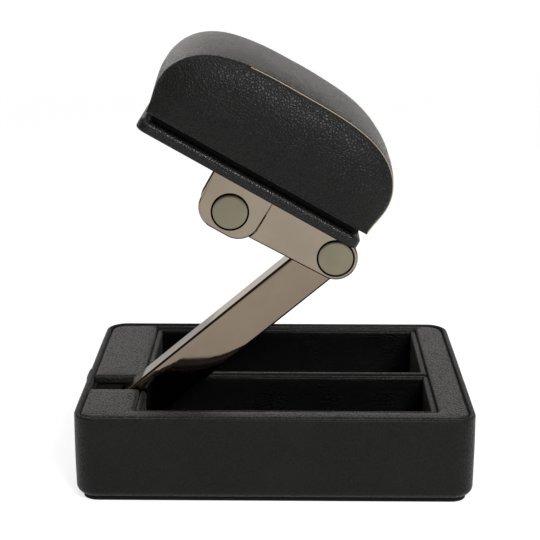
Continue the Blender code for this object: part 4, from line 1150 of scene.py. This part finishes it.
def pressedCloth(s, rest, kinds, count):
    # the cover is blown up on every third point, and the rise is spread back over all points
    scale = 10.0
    rows = len(kinds)
    seams = [row for row, (kind, value) in enumerate(kinds) if kind == "panel" and value == 1.0]
    coarseRows = sorted(set(range(0, rows, 3)) | set(seams) | {rows - 1})
    coarseRows = [row for row in coarseRows if row in seams or min(abs(row - seam) for seam in seams) > 1]
    coarseSteps = list(range(0, count, 3))
    grid = rest.reshape(rows, count, 3)[np.ix_(coarseRows, coarseSteps)]
    wide = len(coarseSteps)
    faces = ringFaces(len(coarseRows), wide)
    faces.append(tuple(range(wide)))
    faces.append(tuple((len(coarseRows) - 1) * wide + i for i in reversed(range(wide))))
    mesh = bpy.data.meshes.new("cushionStart")
    mesh.from_pydata((grid.reshape(-1, 3) * mm * scale).tolist(), [], faces)
    work = bmesh.new()
    work.from_mesh(mesh)
    bmesh.ops.recalc_face_normals(work, faces=work.faces)
    work.to_mesh(mesh)
    work.free()
    held = [i * wide + j for i, row in enumerate(coarseRows) for j, step in enumerate(coarseSteps)
            if row in seams or kinds[row][0] == "band" and (step >= s["steps"] or step == 0)]
    moved = inflate(mesh, held, coverCloth).reshape(len(coarseRows), wide, 3) / (mm * scale) - grid
    spread = np.zeros((rows, count, 3))
    for axis in range(3):
        across = np.array([np.interp(np.arange(count), coarseSteps + [count], list(line) + [line[0]])
                           for line in moved[:, :, axis]])
        spread[:, :, axis] = np.array([np.interp(np.arange(rows), coarseRows, column)
                                       for column in across.T]).T
    return spread.reshape(-1, 3)


def makeCushion(s):
    points, faces, kinds, count = cushionGrid(s)
    rest = np.array(points)
    total = len(rest)
    isBand = np.repeat([kind == "band" for kind, value in kinds], count)
    value = np.repeat([v for kind, v in kinds], count)
    side = np.where(rest[:, 1] > 0, 1.0, -1.0)
    tall = rest[:, 2] - s["bottom"]
    # how far every point of an end panel lies from the sewn part of its outline
    away = np.zeros(total)
    for face in (-1, 1):
        sewn = np.array(cushionOutline(s, face)[:s["steps"] + 1])
        mask = ~isBand & (side == face)
        spots = rest[mask][:, (0, 2)]
        start, along = sewn[:-1], sewn[1:] - sewn[:-1]
        lengths = np.maximum((along ** 2).sum(1), 1e-12)
        offset = spots[:, None, :] - start[None]
        t = np.clip((offset * along[None]).sum(2) / lengths[None], 0.0, 1.0)
        away[mask] = np.sqrt(((offset - t[..., None] * along[None]) ** 2).sum(2)).min(1)
    outward = np.zeros_like(rest)
    outward[~isBand, 1] = side[~isBand]
    lean = np.arctan2(rest[:, 0] - s["offset"], s["half"] * 0.9)
    outward[isBand, 0] = np.sin(lean)[isBand]
    outward[isBand, 2] = np.cos(lean)[isBand]
    rise = np.interp(away, [d for d, h in panelRise], [h for d, h in panelRise]) * s["bulge"]
    upper = np.clip(tall / s["upperFade"], 0.0, 1.0)
    upper = upper * upper * (3 - 2 * upper)
    tuck = np.sqrt(np.clip(1 - (1 - np.clip(tall / s["footRound"], 0, 1)) ** 2, 0, 1))
    panel = rise * (s["lowBulge"] + (1 - s["lowBulge"]) * upper) * tuck
    band = s["crown"] * (1 - value ** 2).clip(0, 1) ** 0.8 * np.clip(tall / s["height"] * 3, 0, 1)
    shift = np.where(isBand, band, panel)
    blown = (pressedCloth(s, rest, kinds, count) * outward).sum(1)
    for mask, share in ((isBand, s["bandCloth"]), (~isBand, s["panelCloth"])):
        peak = float(np.percentile(np.abs(blown[mask]), 97))
        print("cushion: the cloth rose", round(peak, 3), "mm before it was scaled to the photograph")
        if peak > 1e-3:
            like = np.clip(blown / peak, 0.0, 1.1) * np.percentile(shift[mask], 97)
            shift[mask] = ((1 - share) * shift + share * like * (shift > 0))[mask]
    # a sewn line runs round inside the seam, and the seam itself is drawn in
    lineShape = np.exp(-((away - s["lineInset"]) / s["lineWidth"]) ** 2)
    sewnLine = s["lineDepth"] * lineShape * np.clip((tall - s["lineFrom"]) / s["lineFade"], 0, 1)
    shift -= np.where(isBand, 0.0, sewnLine)
    shaped = rest + outward * shift[:, None]
    for row, (kind, amount) in enumerate(kinds):
        if kind == "panel" and amount == 1.0:
            face = 1 if rest[row * count][1] > 0 else -1
            inward = outlineNormals(cushionOutline(s, face)) * -s["seamDip"]
            fade = np.clip(tall[row * count:(row + 1) * count] / 2.0, 0, 1)[:, None]
            shaped[row * count:(row + 1) * count, (0, 2)] += inward * fade
    for index in np.nonzero(tall > 0.5)[0]:
        x, y, z = shaped[index]
        shaped[index] += outward[index] * s["ripple"] * ripple(x, y, z, 11.0, 1.5)
    mesh = meshFrom("cushionLeather", shaped.tolist(), faces, headFrame)
    piece = pieceFromMesh("cushionLeather", mesh)
    finishPiece(piece, "cushion", "cushionLeather",
                ["cushion_band", "cushion_front_panel", "cushion_rear_panel", "cushion_foam",
                 "cushion_bottom_panel"], 180.0)
    return piece


makeCushion(cushionSizes)
print("stage: cushion built")


# raw leather edge along the seams, drawn pale only on the seam's lit part: partly the real edge, partly a
# painted highlight
def buildSeamTree():
    # a thin strip along a curve, its width uneven from point to point
    tree = bpy.data.node_groups.new("edgeAlongSeam", "GeometryNodeTree")
    for socketName, kind, value in (("Geometry", "NodeSocketGeometry", None),
                                    ("Thickness", "NodeSocketFloat", 0.0003),
                                    ("Spacing", "NodeSocketFloat", 0.0003),
                                    ("Unevenness", "NodeSocketFloat", 0.35),
                                    ("Finish", "NodeSocketMaterial", None)):
        socket = tree.interface.new_socket(name=socketName, in_out="INPUT", socket_type=kind)
        if value is not None:
            socket.default_value = value
    tree.interface.new_socket(name="Geometry", in_out="OUTPUT", socket_type="NodeSocketGeometry")
    nodes, links = tree.nodes, tree.links
    start, end = nodes.new("NodeGroupInput"), nodes.new("NodeGroupOutput")
    curve = nodes.new("GeometryNodeMeshToCurve")
    links.new(start.outputs["Geometry"], curve.inputs["Mesh"])
    even = nodes.new("GeometryNodeResampleCurve")
    even.mode = "LENGTH"
    links.new(curve.outputs["Curve"], even.inputs["Curve"])
    links.new(start.outputs["Spacing"], even.inputs["Length"])
    wobble = nodes.new("ShaderNodeTexNoise")
    wobble.inputs["Scale"].default_value = 900.0
    position = nodes.new("GeometryNodeInputPosition")
    links.new(position.outputs[0], wobble.inputs["Vector"])
    spread = nodes.new("ShaderNodeMapRange")
    links.new(wobble.outputs["Fac"], spread.inputs["Value"])
    spread.inputs["From Min"].default_value = 0.25
    spread.inputs["From Max"].default_value = 0.75
    less = nodes.new("ShaderNodeMath")
    less.operation = "SUBTRACT"
    less.inputs[0].default_value = 1.0
    links.new(start.outputs["Unevenness"], less.inputs[1])
    links.new(less.outputs[0], spread.inputs["To Min"])
    spread.inputs["To Max"].default_value = 1.0
    radius = nodes.new("GeometryNodeSetCurveRadius")
    links.new(even.outputs["Curve"], radius.inputs["Curve"])
    links.new(spread.outputs["Result"], radius.inputs["Radius"])
    circle = nodes.new("GeometryNodeCurvePrimitiveCircle")
    circle.inputs["Resolution"].default_value = 8
    half = nodes.new("ShaderNodeMath")
    half.operation = "MULTIPLY"
    half.inputs[1].default_value = 0.5
    links.new(start.outputs["Thickness"], half.inputs[0])
    links.new(half.outputs[0], circle.inputs["Radius"])
    sweep = nodes.new("GeometryNodeCurveToMesh")
    links.new(radius.outputs["Curve"], sweep.inputs["Curve"])
    links.new(circle.outputs["Curve"], sweep.inputs["Profile Curve"])
    sweep.inputs["Fill Caps"].default_value = True
    real = nodes.new("GeometryNodeRealizeInstances")
    links.new(sweep.outputs["Mesh"], real.inputs["Geometry"])
    paint = nodes.new("GeometryNodeSetMaterial")
    links.new(real.outputs["Geometry"], paint.inputs["Geometry"])
    links.new(start.outputs["Finish"], paint.inputs["Material"])
    links.new(paint.outputs["Geometry"], end.inputs[0])
    return tree


def makeSeamEdges(s):
    tree = buildSeamTree()
    for name, side in (("frontSeamEdge", -1), ("rearSeamEdge", 1)):
        outline = cushionOutline(s, side)
        normals = outlineNormals(outline)
        # the pale strip is drawn only where the seam is lit, right of paintedHighlightFrom: a painted
        # highlight
        run = [(x - n[0] * 0.16, side * (s["seam"] + 0.02), z - n[1] * 0.16)
               for (x, z), n in list(zip(outline, normals))[1:s["steps"]] if x > s["paintedHighlightFrom"]]
        mesh = bpy.data.meshes.new(name)
        mesh.from_pydata(run, [(i, i + 1) for i in range(len(run) - 1)], [])
        mesh.transform(headFrame)
        piece = runTree(name, tree, pieceFromMesh(name, mesh),
                        {"Thickness": s["paleThickness"], "Finish": materials["rawEdgeWithPaintedHighlight"]})
        for polygon in piece.data.polygons:
            polygon.use_smooth = True
        finishPiece(piece, "cushion", "rawEdgeWithPaintedHighlight", (), 60.0)


makeSeamEdges(cushionSizes)
print("stage: seams built")


# finishes of the pieces kept from the frame
kept = {"foot_plate": "blackBoard", "base_core": "coreBoard", "hinge_saddle": "plainSteel",
        "hinge_pin": "plainSteel", "hinge_washer_front": "washerPlastic",
        "hinge_washer_rear": "washerPlastic",
        "elbow_washer_front": "washerPlastic", "elbow_washer_rear": "washerPlastic",
        "tilt_washer_front": "washerPlastic", "tilt_washer_rear": "washerPlastic",
        "cushion_base": "blackBoard"}
for nodeName, finish in kept.items():
    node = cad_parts[nodeName]
    node.data.materials.clear()
    node.data.materials.append(materials[finish])


# studio
studio = {"horizon": 1.0, "dark": 0.05, "fadeStart": 0.36, "fadeEnd": 0.62, "sideDark": -0.05,
          "sideWhite": 0.35, "warmth": (1.0, 0.975, 0.925, 1.0), "ambient": 0.50, "floorColor": 0.50,
          "floorGlow": 0.70, "farGlow": 0.82, "mirroredGlow": 0.40, "glowStart": 0.35, "glowEnd": 1.4,
          "floorSize": 6.0,
          "keyPlace": (0.25, -0.50, 0.46), "keySize": (0.26, 0.20), "keyPower": 3.4,
          "topPlace": (-0.05, -0.10, 0.75), "topSize": (0.40, 0.30), "topPower": 1.4}


def makeFloor(s):
    half = s["floorSize"]
    mesh = bpy.data.meshes.new("studioFloor")
    mesh.from_pydata([(-half, -half, 0), (half, -half, 0), (half, half, 0), (-half, half, 0)], [],
                     [(0, 1, 2, 3)])
    floor = pieceFromMesh("studioFloor", mesh)
    material, tree, shader, place = newMaterial("paleFloor")
    shader.inputs["Base Color"].default_value = (s["floorColor"], s["floorColor"], s["floorColor"], 1.0)
    shader.inputs["Roughness"].default_value = 0.9
    shader.inputs["Specular IOR Level"].default_value = 0.0
    path = tree.nodes.new("ShaderNodeLightPath")
    mirrored = maths(tree, "MAXIMUM", path.outputs["Is Glossy Ray"], path.outputs["Is Transmission Ray"])
    away = tree.nodes.new("ShaderNodeVectorMath")
    away.operation = "LENGTH"
    join(tree, place, away.inputs[0])
    glow = between(tree, away.outputs["Value"], s["glowStart"], s["glowEnd"], s["floorGlow"], s["farGlow"])
    seen = maths(tree, "MULTIPLY", path.outputs["Is Camera Ray"], glow)
    seen = maths(tree, "ADD", seen, maths(tree, "MULTIPLY", mirrored, s["mirroredGlow"]))
    shader.inputs["Emission Color"].default_value = (1.0, 1.0, 1.0, 1.0)
    join(tree, seen, shader.inputs["Emission Strength"])
    mesh.materials.append(material)
    return floor


def makeWorld(s):
    # reflections see a white sweep behind the stand and a dark room above and in front of it
    world = bpy.data.worlds.new("studioWorld")
    bpy.context.scene.world = world
    world.use_nodes = True
    tree = world.node_tree
    nodes = tree.nodes
    nodes.clear()
    path = nodes.new("ShaderNodeLightPath")
    split = nodes.new("ShaderNodeSeparateXYZ")
    join(tree, nodes.new("ShaderNodeTexCoord").outputs["Generated"], split.inputs[0])
    low = between(tree, split.outputs["Z"], s["fadeStart"], s["fadeEnd"], 1.0, 0.0)
    behind = between(tree, split.outputs["Y"], s["sideDark"], s["sideWhite"])
    sweep = maths(tree, "MULTIPLY", maths(tree, "MULTIPLY", low, behind), s["horizon"] - s["dark"])
    reflected, ambient, plain = (nodes.new("ShaderNodeBackground") for _ in range(3))
    join(tree, maths(tree, "ADD", sweep, s["dark"]), reflected.inputs["Strength"])
    reflected.inputs["Color"].default_value = s["warmth"]
    ambient.inputs["Strength"].default_value = s["ambient"]
    plain.inputs["Color"].default_value = (1.0, 1.0, 1.0, 1.0)
    plain.inputs["Strength"].default_value = 1.0
    shiny = maths(tree, "MAXIMUM", path.outputs["Is Glossy Ray"], path.outputs["Is Transmission Ray"])
    first, second = (nodes.new("ShaderNodeMixShader") for _ in range(2))
    for mix, factor, lowSide, highSide in ((first, shiny, ambient, reflected),
                                           (second, path.outputs["Is Camera Ray"], first, plain)):
        join(tree, factor, mix.inputs[0])
        join(tree, lowSide.outputs[0], mix.inputs[1])
        join(tree, highSide.outputs[0], mix.inputs[2])
    join(tree, second.outputs[0], nodes.new("ShaderNodeOutputWorld").inputs["Surface"])


def makeLamp(name, place, target, size, power):
    data = bpy.data.lights.new(name, "AREA")
    data.shape = "RECTANGLE"
    data.size, data.size_y = size
    data.energy = power
    lamp = bpy.data.objects.new(name, data)
    lamp.location = place
    lamp.rotation_euler = (Vector(target) - Vector(place)).to_track_quat("-Z", "Y").to_euler()
    lamp.visible_camera = False
    bpy.context.scene.collection.objects.link(lamp)
    return lamp


photoView = {"sensor": 36.0, "lens": 90.03, "nearest": 0.02, "place": (0.0036, -0.4163, 0.1814),
             "tilt": 73.78, "turn": 0.75}


def makeCamera(view):
    data = bpy.data.cameras.new("photoCamera")
    data.sensor_width = view["sensor"]
    data.lens = view["lens"]
    data.clip_start = view["nearest"]
    camera = bpy.data.objects.new("photoCamera", data)
    camera.location = view["place"]
    camera.rotation_euler = (math.radians(view["tilt"]), 0.0, math.radians(view["turn"]))
    bpy.context.scene.collection.objects.link(camera)
    bpy.context.scene.camera = camera


makeFloor(studio)
makeWorld(studio)
for lampName, key in (("keySoftbox", "key"), ("topSoftbox", "top")):
    makeLamp(lampName, studio[key + "Place"], (0.0, 0.0, 0.07), studio[key + "Size"], studio[key + "Power"])
makeCamera(photoView)
bpy.context.scene.view_settings.view_transform = "Standard"
print("stage: studio set")
